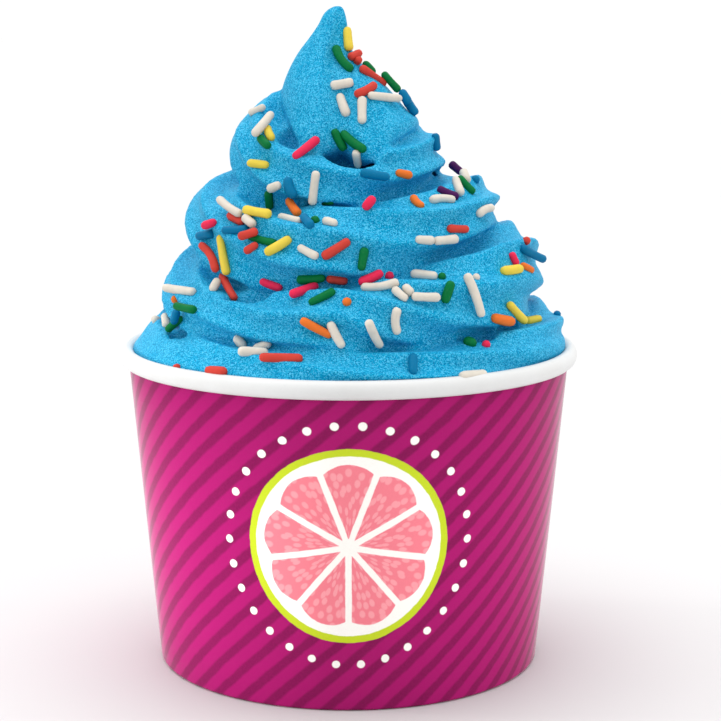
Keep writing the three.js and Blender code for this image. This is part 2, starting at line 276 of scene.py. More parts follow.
@dataclass(frozen=True)
class PrintedPaperFinish:
    """Coated paper printed with slanting stripes all round and a slice of citrus fruit in front.

    Angles run round the cup from the front, lengths are in millimetres on the paper. A waver is how
    far a drawn edge strays, and a softness is how far it fades on either side.
    """

    base: Colour = (0.392, 0.0098, 0.143, 1.0)
    dark: Colour = (0.236, 0.0082, 0.087, 1.0)
    stripe_count: int = 42
    stripe_rise: float = 5.81
    stripe_start: float = 0.300
    stripe_half: float = 0.215
    stripe_softness: float = 0.08
    stripe_waver: float = 0.16
    rind: Colour = paint(196, 214, 46)
    pith: Colour = paint(252, 250, 244)
    flesh: Colour = paint(240, 118, 134)
    flesh_light: Colour = paint(248, 160, 168)
    badge_height: float = 35.5
    badge_half_turn: float = 1.2
    badge_radius: float = 20.5
    badge_waver: float = 0.5
    badge_softness: float = 0.12
    reference_radius: float = 44.8
    rind_width: float = 1.5
    pith_width: float = 1.7
    pith_line: float = 0.65
    pith_line_waver: float = 0.6
    segments: int = 9
    segment_rounding: float = 7.0
    heart_radius: float = 1.9
    drops_round: float = 54.0
    drops_outwards: float = 0.42
    drops_unevenness: float = 0.8
    drop_edge: Span = (0.25, 0.45)
    drop_share: float = 0.75
    dots: int = 30
    dot_ring: float = 25.3
    dot_radius: float = 0.85
    drawn: Grain = (3.2, 3.0, 0.6)
    ink: Grain = (0.45, 3.0, 0.75)
    ink_strengths: Span = (0.80, 1.20)
    tone: Grain = (9.0, 2.0, 0.5)
    tone_strengths: Span = (0.93, 1.07)
    ink_share: float = 0.6
    tone_share: float = 0.4
    fibre: Grain = (1.6, 4.0, 0.6)
    fibre_relief: Relief = (0.02, 0.5)
    cockle: Grain = (14.0, 1.0, 0.4)
    cockle_relief: Relief = (0.25, 0.35)
    roughness: float = 0.13
    roughness_gain: float = 0.10
    refraction: float = 1.15
    sheen: float = 0.44
    sheen_roughness: float = 0.14

    @staticmethod
    def _wedge(recipe: Recipe, around: Wire, count: int) -> Wire:
        """Cuts a round into equal wedges, and gives the place in each, from -0.5 to 0.5."""
        return recipe.maths("FRACT", around * count + 0.5 * count) - 0.5

    def _slice(self, recipe: Recipe, around: Wire, reach: Wire, waver: Wire) -> Wire:
        """Paints the inside of the fruit slice: wedges of flesh in white pith.

        Args:
            recipe: The recipe being laid out.
            around: The place round the badge, a whole turn being 1.
            reach: The distance from its middle.
            waver: A small wavering of drawn edges.

        Returns:
            The colour.
        """
        soft = self.badge_softness
        from_middle = recipe.maths("ABSOLUTE", self._wedge(recipe, around, self.segments))
        from_line = (0.5 - from_middle) * (TURN / self.segments) * reach
        off_line = recipe.beyond(from_line + waver * self.pith_line_waver, self.pith_line, soft)
        rounded = reach + from_middle * from_middle * self.segment_rounding
        inside = 1 - recipe.beyond(rounded, self.badge_radius - self.rind_width - self.pith_width, soft)
        off_heart = recipe.beyond(reach, self.heart_radius, soft)
        polar = {0: around * self.drops_round, 1: reach * self.drops_outwards, 2: 0.0}
        grid = recipe.wire("CombineXYZ", polar)
        sockets = {"Vector": grid, "Scale": 1.0, "Randomness": self.drops_unevenness}
        drops = recipe.wire("TexVoronoi", sockets, "Distance", voronoi_dimensions="2D", feature="F1")
        pulp = recipe.step(drops, *self.drop_edge)
        flesh = recipe.blend(pulp * self.drop_share, self.flesh_light, self.flesh)
        return recipe.blend(off_line * inside * off_heart, self.pith, flesh)

    def _badge(self, recipe: Recipe, colour: Wire, turn: Wire, height: Wire, waver: Wire) -> Wire:
        """Lays the fruit slice and its ring of dots over the stripes.

        Args:
            recipe: The recipe being laid out.
            colour: The colour under the badge.
            turn: The angle round the cup.
            height: The height on the cup.
            waver: A small wavering of drawn edges.

        Returns:
            The colour with the badge on it.
        """
        soft = self.badge_softness
        across = turn * self.reference_radius
        up = height - self.badge_height
        reach = recipe.maths("SQRT", across * across + up * up) + waver
        around = recipe.maths("ARCTAN2", across, up) * (1 / TURN)
        in_badge = 1 - recipe.beyond(reach, self.badge_radius, soft)
        in_rind = 1 - recipe.beyond(reach, self.badge_radius - self.rind_width, soft)
        with_rind = recipe.blend(in_rind, self.rind, self._slice(recipe, around, reach, waver))
        badged = recipe.blend(in_badge, colour, with_rind)
        sideways = self._wedge(recipe, around, self.dots) * (TURN * self.dot_ring / self.dots)
        off_ring = reach - self.dot_ring
        from_dot = recipe.maths("SQRT", sideways * sideways + off_ring * off_ring)
        dot = 1 - recipe.beyond(from_dot, self.dot_radius, soft)
        in_front = recipe.maths("LESS_THAN", recipe.maths("ABSOLUTE", turn), self.badge_half_turn)
        return recipe.blend(dot * in_front, badged, self.pith)

    def material(self) -> bpy.types.Material:
        """Lays out the finish.

        Returns:
            The material.
        """
        recipe = Recipe("printed_paper")
        x, y, z = recipe.parts(recipe.place)
        turn = recipe.maths("ARCTAN2", x, 0 - y)
        stray = recipe.noise(self.drawn) - 0.5
        phase = z * (1 / self.stripe_rise) - turn * (self.stripe_count / TURN) - self.stripe_start
        aside = recipe.maths("ABSOLUTE", recipe.maths("FRACT", phase + stray * self.stripe_waver) - 0.5)
        stripe = 1 - recipe.beyond(aside, self.stripe_half, self.stripe_softness)
        ink = recipe.noise(self.ink)
        striped = recipe.blend(stripe, self.base, recipe.shade(self.dark, ink, *self.ink_strengths))
        printed = self._badge(recipe, striped, turn, z, stray * self.badge_waver)
        mottle = ink * self.ink_share + recipe.noise(self.tone) * self.tone_share
        inked = recipe.shade(printed, mottle, *self.tone_strengths)
        fibre = recipe.noise(self.fibre)
        cockled = recipe.bump(recipe.noise(self.cockle), self.cockle_relief)
        return recipe.finish(
            {
                "Base Color": inked,
                "Roughness": fibre * self.roughness_gain + self.roughness,
                "IOR": self.refraction,
                "Sheen Weight": self.sheen,
                "Sheen Roughness": self.sheen_roughness,
                "Normal": recipe.bump(fibre, self.fibre_relief, cockled),
            }
        )


@dataclass(frozen=True)
class PlainPaperFinish:
    """White coated board, with faint fibre and a rolled foot pressed in fine ribs."""

    board: Colour = (0.70, 0.705, 0.702, 1.0)
    warm: Colour = (0.655, 0.65, 0.636, 1.0)
    warm_share: float = 0.5
    ribs: int = 150
    rib_top: float = 6.4
    rib_radius: float = 41.2
    rib_relief: Relief = (0.12, 0.8)
    fibre: Grain = (0.9, 4.0, 0.65)
    fibre_strengths: Span = (0.975, 1.02)
    fibre_relief: Relief = (0.025, 0.5)
    cloud: Grain = (12.0, 3.0, 0.5)
    cloud_edge: Span = (0.42, 0.68)
    speck: Grain = (0.55, 2.0, 0.7)
    speck_edge: Span = (0.60, 0.78)
    speck_strengths: Span = (1.0, 0.95)
    roughness: float = 0.34
    roughness_gain: float = 0.2
    refraction: float = 1.42

    def material(self) -> bpy.types.Material:
        """Lays out the finish.

        Returns:
            The material.
        """
        recipe = Recipe("plain_paper")
        x, y, z = recipe.parts(recipe.place)
        fibre = recipe.noise(self.fibre)
        cloud = recipe.step(recipe.noise(self.cloud), *self.cloud_edge)
        speck = recipe.step(recipe.noise(self.speck), *self.speck_edge)
        colour = recipe.blend(cloud * self.warm_share, self.board, self.warm)
        fibrous = recipe.shade(colour, fibre, *self.fibre_strengths)
        flecked = recipe.shade(fibrous, speck, *self.speck_strengths)
        rib = recipe.maths("SINE", recipe.maths("ARCTAN2", x, y) * self.ribs) * 0.5 + 0.5
        low = recipe.maths("LESS_THAN", z, self.rib_top)
        within = recipe.maths("LESS_THAN", recipe.maths("SQRT", x * x + y * y), self.rib_radius)
        roughness = fibre * self.roughness_gain + self.roughness
        normal = recipe.bump(rib * low * within, self.rib_relief, recipe.bump(fibre, self.fibre_relief))
        return recipe.finish(
            {"Base Color": flecked, "Roughness": roughness, "IOR": self.refraction, "Normal": normal}
        )


@dataclass(frozen=True)
class YogurtFinish:
    """Cold, dense frozen yogurt: satin, finely grained, paler where it has been dragged.

    Each crystal is one cell, whose value mixes a tone of its own with the distance from its middle.
    """

    body: Colour = (0.001, 0.342, 0.600, 1.0)
    pale: Colour = (0.100, 0.530, 0.785, 1.0)
    deep: Colour = (0.000, 0.160, 0.350, 1.0)
    crystal: float = 0.22
    tone_share: float = 0.5
    distance_share: float = 0.55
    pale_edge: Span = (0.58, 0.80)
    deep_edge: Span = (0.54, 0.20)
    cloud: Grain = (7.0, 3.0, 0.55)
    cloud_edge: Span = (0.35, 0.68)
    cloud_share: float = 0.16
    grain: Grain = (0.28, 2.0, 0.7)
    grain_relief: Relief = (0.07, 0.42)
    crumb: Grain = (1.3, 3.0, 0.6)
    crumb_relief: Relief = (0.10, 0.35)
    roughness: float = 0.38
    roughness_gain: float = 0.25
    refraction: float = 1.14
    glow: float = 0.06
    glow_reach: Triple = (0.0008, 0.0022, 0.0034)

    def material(self) -> bpy.types.Material:
        """Lays out the finish.

        Returns:
            The material.
        """
        recipe = Recipe("frozen_yogurt")
        cloud = recipe.step(recipe.noise(self.cloud), *self.cloud_edge)
        cells = recipe.wire("TexVoronoi", {"Vector": recipe.place, "Scale": 1 / self.crystal}, "Color")
        tone = recipe.parts(cells)[0]
        crystal = tone * self.tone_share + cells.beside("Distance") * self.distance_share
        tinted = recipe.blend(cloud * self.cloud_share, self.body, self.pale)
        mottled = recipe.blend(recipe.step(crystal, *self.pale_edge), tinted, self.pale)
        speckled = recipe.blend(recipe.step(crystal, *self.deep_edge), mottled, self.deep)
        grain = recipe.noise(self.grain)
        waves = recipe.bump(recipe.noise(self.crumb), self.crumb_relief)
        return recipe.finish(
            {
                "Base Color": speckled,
                "Roughness": grain * self.roughness_gain + self.roughness,
                "IOR": self.refraction,
                "Subsurface Weight": self.glow,
                "Subsurface Radius": self.glow_reach,
                "Subsurface Scale": 1.0,
                "Normal": recipe.bump(grain, self.grain_relief, waves),
            }
        )


@dataclass(frozen=True)
class SugarFinish:
    """Pressed sugar: a waxed colour with faint pits and a paler bloom."""

    name: str
    colour: Colour
    bloom: Colour = (0.62, 0.60, 0.57, 1.0)
    bloom_share: float = 0.03
    bloom_edge: Span = (0.5, 0.8)
    strength: float = 0.75
    unevenness: float = 0.14
    blotch: Grain = (2.4, 2.0, 0.6)
    blotch_relief: Relief = (0.2, 0.35)
    pit: Grain = (0.4, 3.0, 0.7)
    pit_relief: Relief = (0.06, 0.5)
    roughness: float = 0.34
    roughness_gain: float = 0.3
    refraction: float = 1.18

    def material(self) -> bpy.types.Material:
        """Lays out the finish.

        Returns:
            The material.
        """
        recipe = Recipe(self.name)
        blotch = recipe.noise(self.blotch)
        pit = recipe.noise(self.pit)
        low, high = ((1 + side * self.unevenness) * self.strength for side in (-1, 1))
        toned = recipe.shade(self.colour, blotch, low, high)
        dusted = recipe.blend(recipe.step(pit, *self.bloom_edge) * self.bloom_share, toned, self.bloom)
        roughness = pit * self.roughness_gain + self.roughness
        normal = recipe.bump(pit, self.pit_relief, recipe.bump(blotch, self.blotch_relief))
        return recipe.finish(
            {"Base Color": dusted, "Roughness": roughness, "IOR": self.refraction, "Normal": normal}
        )


@dataclass(frozen=True)
class FloorFinish:
    """A plain pale tabletop."""

    colour: Colour = (0.66, 0.66, 0.66, 1.0)
    cloud: Grain = (40.0, 2.0, 0.5)
    cloud_strengths: Span = (0.995, 1.005)
    roughness: float = 0.7

    def material(self) -> bpy.types.Material:
        """Lays out the finish.

        Returns:
            The material.
        """
        recipe = Recipe("studio_floor")
        clouded = recipe.shade(self.colour, recipe.noise(self.cloud), *self.cloud_strengths)
        return recipe.finish({"Base Color": clouded, "Roughness": self.roughness})


# ---- modelling bench


class Element(Enum):
    """What an edit-mode selection is made of."""

    VERTICES = "VERT"
    EDGES = "EDGE"
    FACES = "FACE"


class Bench:
    """The modelling bench: primitives, edit mode, selections and modifiers."""

    @staticmethod
    def add(primitive: Callable[..., object], name: str, **settings: object) -> Piece:
        """Adds a primitive with nothing else selected.

        Args:
            primitive: The operator that adds it.
            name: The piece's name.
            **settings: The operator's settings, in metres.

        Returns:
            The new piece.
        """
        bpy.ops.object.select_all(action="DESELECT")
        primitive(**settings)
        piece = bpy.context.active_object
        Bench.rename(piece, name)
        bpy.ops.object.transform_apply(location=True, rotation=True, scale=True)
        return piece

    @staticmethod
    def rename(piece: Piece, name: str) -> None:
        """Names a piece and its mesh."""
        piece.name = name
        piece.data.name = name

    @staticmethod
    def link(name: str, data: bpy.types.ID) -> Piece:
        """Puts a new object in the scene.

        Args:
            name: The object's name.
            data: The mesh, light or camera that it shows.

        Returns:
            The new object.
        """
        piece = bpy.data.objects.new(name, data)
        bpy.context.scene.collection.objects.link(piece)
        return piece

    @staticmethod
    def only(pieces: Sequence[Piece]) -> None:
        """Selects these pieces alone, the first one active.

        Args:
            pieces: The pieces.
        """
        bpy.ops.object.select_all(action="DESELECT")
        for piece in pieces:
            piece.select_set(True)
        bpy.context.view_layer.objects.active = pieces[0]

    @staticmethod
    @contextmanager
    def editing(piece: Piece) -> Iterator[None]:
        """Opens a piece in edit mode with nothing selected, and closes it again.

        Args:
            piece: The piece.

        Yields:
            Nothing, while the piece is open.
        """
        Bench.only([piece])
        bpy.ops.object.mode_set(mode="EDIT")
        bpy.ops.mesh.select_all(action="DESELECT")
        yield
        bpy.ops.object.mode_set(mode="OBJECT")

    @staticmethod
    def pick(piece: Piece, element: Element, test: Callable[[object], bool]) -> None:
        """Selects vertices, edges or faces of the piece in edit mode, and nothing else.

        Args:
            piece: The piece in edit mode.
            element: What is selected.
            test: Whether one element is wanted.
        """
        bpy.ops.mesh.select_mode(type=element.value)
        bpy.ops.mesh.select_all(action="DESELECT")
        shape = bmesh.from_edit_mesh(piece.data)
        pools = {Element.VERTICES: shape.verts, Element.EDGES: shape.edges, Element.FACES: shape.faces}
        for item in [item for item in pools[element] if test(item)]:
            item.select_set(True)
        shape.select_flush_mode()
        bmesh.update_edit_mesh(piece.data)

    @staticmethod
    def face_out() -> None:
        """Turns all faces of the piece in edit mode outwards."""
        bpy.ops.mesh.select_all(action="SELECT")
        bpy.ops.mesh.normals_make_consistent(inside=False)

    @staticmethod
    def apply(piece: Piece, kind: str, **settings: object) -> None:
        """Adds a modifier and applies it.

        Args:
            piece: The piece.
            kind: The modifier's type.
            **settings: The modifier's settings.
        """
        modifier = piece.modifiers.new(kind.lower(), kind)
        for name, value in settings.items():
            setattr(modifier, name, value)
        Bench.only([piece])
        bpy.ops.object.modifier_apply(modifier=modifier.name)

    @staticmethod
    def join(pieces: Sequence[Piece], name: str) -> Piece:
        """Joins pieces into one.

        Args:
            pieces: The pieces.
            name: The joined piece's name.

        Returns:
            The joined piece.
        """
        Bench.only(pieces)
        if len(pieces) > 1:
            bpy.ops.object.join()
        Bench.rename(pieces[0], name)
        return pieces[0]

    @staticmethod
    def read(items: bpy.types.bpy_prop_collection, name: str, width: int) -> np.ndarray:
        """Reads one property of all vertices or faces.

        Args:
            items: The vertices or faces.
            name: The property.
            width: How many numbers it has.

        Returns:
            One row for each vertex or face.
        """
        flat = np.zeros(len(items) * width)
        items.foreach_get(name, flat)
        return flat.reshape(-1, width)

    @staticmethod
    def places(piece: Piece) -> np.ndarray:
        """Gives a piece's vertices in millimetres, one row each."""
        return Bench.read(piece.data.vertices, "co", 3) / MM

    @staticmethod
    def move_to(piece: Piece, points: np.ndarray) -> None:
        """Moves a piece's vertices to points in millimetres."""
        piece.data.vertices.foreach_set("co", (points * MM).astype(np.float32).ravel())
        piece.data.update()

    @staticmethod
    def sheet(name: str, points: np.ndarray) -> Piece:
        """Adds a grid primitive whose rows follow rings of points, and closes it into a solid.

        Args:
            name: The piece's name.
            points: Rings of points in millimetres: ring, point, coordinate. The last point of a
                ring repeats its first.

        Returns:
            The closed piece.
        """
        rings, around = points.shape[:2]
        piece = Bench.add(
            bpy.ops.mesh.primitive_grid_add, name, x_subdivisions=around - 1, y_subdivisions=rings - 1, size=1
        )
        Bench.move_to(piece, points.reshape(-1, 3))
        with Bench.editing(piece):
            bpy.ops.mesh.select_all(action="SELECT")
            bpy.ops.mesh.remove_doubles(threshold=CLOSE)
            Bench.pick(piece, Element.EDGES, lambda edge: edge.is_boundary)
            bpy.ops.mesh.edge_face_add()
            Bench.face_out()
        return piece


def smoothstep(value: np.ndarray, low: float, high: float) -> np.ndarray:
    """Rises smoothly from 0 at the low value to 1 at the high one.

    Args:
        value: The values that are read.
        low: Where the step begins.
        high: Where it ends.

    Returns:
        The shares, from 0 to 1.
    """
    share = np.clip((np.asarray(value, float) - low) / (high - low), 0, 1)
    return share * share * (3 - 2 * share)


def hump(value: np.ndarray, first: float, full: float, fade: float, last: float) -> np.ndarray:
    """Rises from 0 to 1 between the first two places, and falls again between the last two."""
    return smoothstep(value, first, full) * (1 - smoothstep(value, fade, last))


def bell(value: np.ndarray, middle: np.ndarray, width: float) -> np.ndarray:
    """Falls smoothly from 1 at the middle to nothing on both sides."""
    return np.exp(-(((value - middle) / width) ** 2))


def outward_of(point: Vector) -> Vector:
    """Gives the level direction from the cup's axis to a point."""
    return Vector((point.x, point.y, 0)).normalized()


def climb(edge: bmesh.types.BMEdge) -> float:
    """Gives how far an edge rises."""
    return abs(edge.verts[0].co.z - edge.verts[1].co.z)


# ---- paper cup


@dataclass(frozen=True)
class PaperCup:
    """A cup of rolled paper: wall, rolled rim, folded foot, glued seam and raised base."""

    foot_radius: float = 42.0
    shoulder_radius: float = 48.0
    shoulder_height: float = 66.0
    paper: float = 0.6
    sides: int = 180
    wall_cuts: int = 9
    rim_radius: float = 48.4
    rim_height: float = 68.0
    rim_half_width: float = 1.6
    rim_half_height: float = 2.0
    rim_steps: int = 16
    rim_turns: Span = (math.radians(200), math.radians(-125))
    tuck: float = 0.22
    tuck_start: float = 0.8
    foot_gap: float = 0.35
    foot_fold: float = 7.0
    foot_angles: Tuple[int, ...] = (-30, -60, -90, -120, -150, -180)
    seam_turn: float = math.radians(96)
    seam_width: float = math.radians(11)
    seam_lift: float = 0.34
    seam_fade: float = 0.94
    seam_end: float = 0.5
    seam_facing: float = 0.7
    base_steps: Tuple[float, ...] = (36.5, 35.0, 33.6, 18.0)
    base_sunk_share: float = 0.3
    base_paper_share: float = 0.62
    base_edge: float = 0.12

    @property
    def bottom(self) -> float:
        """The height at which the wall turns under."""
        return self.paper + self.foot_gap

    def inner_radius(self, height: float) -> float:
        """Gives the wall's inner radius at a height."""
        slope = (self.shoulder_radius - self.foot_radius) / self.shoulder_height
        return self.foot_radius - self.paper + slope * height

    def _extend(self, path: Sequence[Span]) -> None:
        """Extrudes the selected ring of edges along a path.

        Args:
            path: Radius and height of the selected ring, then those of each new one.
        """
        radius, height = path[0]
        for next_radius, next_height in path[1:]:
            rise = (0, 0, (next_height - height) * MM)
            bpy.ops.mesh.extrude_region_move(TRANSFORM_OT_translate={"value": rise})
            share = next_radius / radius
            bpy.ops.transform.resize(value=(share, share, 1), center_override=(0, 0, 0))
            radius, height = next_radius, next_height

    def _rim_path(self) -> List[Span]:
        """Gives the roll's path: up the inside, over the top, down outside and tucked in below.

        Returns:
            The radius and height of each ring.
        """
        start, end = self.rim_turns
        path = [(self.inner_radius(self.shoulder_height), self.shoulder_height)]
        for index in range(self.rim_steps + 1):
            share = index / self.rim_steps
            angle = start + (end - start) * index / self.rim_steps
            tuck = 1 - self.tuck * max(0.0, share - self.tuck_start) / (1 - self.tuck_start)
            radius = self.rim_radius + self.rim_half_width * tuck * math.cos(angle)
            path.append((radius, self.rim_height + self.rim_half_height * tuck * math.sin(angle)))
        return path

    def _foot_path(self) -> List[Span]:
        """Gives the fold's path: round under the wall and up its inside.

        Returns:
            The radius and height of each ring.
        """
        start = self.inner_radius(self.bottom)
        path = [(start, self.bottom)]
        for angle in self.foot_angles:
            turn = math.radians(angle)
            radius = start - self.foot_gap + self.foot_gap * math.cos(turn)
            path.append((radius, self.bottom + self.foot_gap * math.sin(turn)))
        for share in (0.5, 1.0):
            height = self.bottom + (self.foot_fold - self.bottom) * share
            path.append((self.inner_radius(height) - 2 * self.foot_gap, height))
        return path

    def build_wall(self) -> Piece:
        """Models the sheet: wall, rolled rim, folded foot and seam.

        Returns:
            The wall.
        """
        tall = self.shoulder_height - self.bottom
        wall = Bench.add(
            bpy.ops.mesh.primitive_cone_add,
            "paper_cup_wall",
            vertices=self.sides,
            radius1=self.inner_radius(self.bottom) * MM,
            radius2=self.inner_radius(self.shoulder_height) * MM,
            depth=tall * MM,
            end_fill_type="NOTHING",
            location=(0, 0, (self.bottom + tall / 2) * MM),
        )
        low, top = self.bottom * MM + CLOSE, self.shoulder_height * MM - CLOSE
        with Bench.editing(wall):
            Bench.pick(wall, Element.EDGES, lambda edge: climb(edge) > tall * MM / 2)
            bpy.ops.mesh.subdivide(number_cuts=self.wall_cuts)
            Bench.pick(wall, Element.EDGES, lambda edge: min(end.co.z for end in edge.verts) > top)
            self._extend(self._rim_path())
            Bench.pick(wall, Element.EDGES, lambda edge: max(end.co.z for end in edge.verts) < low)
            self._extend(self._foot_path())
            bpy.ops.mesh.select_all(action="SELECT")
            bpy.ops.mesh.remove_doubles(threshold=CLOSE / 10)
            Bench.face_out()
        self._face_inwards(wall)
        for finish in (PlainPaperFinish(), PrintedPaperFinish()):
            wall.data.materials.append(finish.material())
        printed = {"material_offset": 1, "material_offset_rim": 0}
        Bench.apply(wall, "SOLIDIFY", thickness=self.paper * MM, offset=-1, use_even_offset=True, **printed)
        self._add_seam(wall)
        bpy.ops.object.shade_smooth_by_angle(angle=math.radians(38))
        return wall

    def _face_inwards(self, wall: Piece) -> None:
        """Turns the sheet's white side to the yogurt, so that its print side gets the thickness.

        Args:
            wall: The sheet, still without thickness.
        """
        middle = self.shoulder_height / 2 * MM
        face = min(wall.data.polygons, key=lambda polygon: abs(polygon.center.z - middle))
        if outward_of(face.center).dot(face.normal) > 0:
            with Bench.editing(wall):
                bpy.ops.mesh.select_all(action="SELECT")
                bpy.ops.mesh.flip_normals()

    def _add_seam(self, wall: Piece) -> None:
        """Raises the glued overlap: a crisp edge on one side, sunk to nothing on the other.

        Args:
            wall: The wall.
        """
        half = self.seam_width / 2
        top = (self.shoulder_height - self.seam_end) * MM
        lift = self.seam_lift * MM

        def turn_to_seam(place: Vector) -> float:
            """The angle from the seam's middle to a place."""
            return math.atan2(place.x, -place.y) - self.seam_turn

        def on_overlap(face: bmesh.types.BMFace) -> bool:
            """Whether a face is on the print side, inside the overlap.

            Args:
                face: The face.

            Returns:
                Whether it is.
            """
            centre = face.calc_center_median()
            printed = outward_of(centre).dot(face.normal) > self.seam_facing
            return printed and abs(turn_to_seam(centre)) < half and centre.z < top

        with Bench.editing(wall):
            Bench.pick(wall, Element.FACES, on_overlap)
            bpy.ops.mesh.extrude_region_shrink_fatten(TRANSFORM_OT_shrink_fatten={"value": lift})
            shape = bmesh.from_edit_mesh(wall.data)
            for corner in [vertex for vertex in shape.verts if vertex.select]:
                share = min(1.0, max(0.0, (turn_to_seam(corner.co) + half) / self.seam_width))
                corner.co -= outward_of(corner.co) * (lift * self.seam_fade * share)
            bmesh.update_edit_mesh(wall.data)

    def build_base(self) -> Piece:
        """Models the raised base: a disc pressed with a shallow step, and a rounded edge.

        Returns:
            The base.
        """
        low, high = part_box("cup_disc")
        reach = high.x / MM
        thick = (high.z - low.z) / MM
        base = Bench.add(
            bpy.ops.mesh.primitive_circle_add,
            "paper_cup_base",
            vertices=self.sides // 2,
            radius=reach * MM,
            fill_type="NGON",
            location=(0, 0, high.z),
        )
        with Bench.editing(base):
            bpy.ops.mesh.select_all(action="SELECT")
            for step in self.base_steps:
                bpy.ops.mesh.inset(thickness=(reach - step) * MM, depth=0)
                reach = step
            pressed = self.base_steps[1] * MM + 10 * CLOSE
            Bench.pick(base, Element.VERTICES, lambda vertex: vertex.co.xy.length < pressed)
            bpy.ops.transform.translate(value=(0, 0, -self.base_sunk_share * thick * MM))
        inwards = -1 if sum(face.normal.z * face.area for face in base.data.polygons) > 0 else 1
        Bench.apply(base, "SOLIDIFY", thickness=self.base_paper_share * thick * MM, offset=inwards)
        edge = {"limit_method": "ANGLE", "angle_limit": math.radians(60)}
        Bench.apply(base, "BEVEL", width=self.base_edge * MM, segments=2, **edge)
        bpy.ops.object.shade_smooth_by_angle(angle=math.radians(35))
        return base

    def place(self) -> List[Piece]:
        """Builds, dresses and hands over the cup.

        Returns:
            The cup's pieces.
        """
        wall, base = self.build_wall(), self.build_base()
        base.data.materials.append(wall.data.materials[0])
        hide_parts("cup_wall")
        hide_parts("cup_disc")
        return [wall, base]


# ---- yogurt


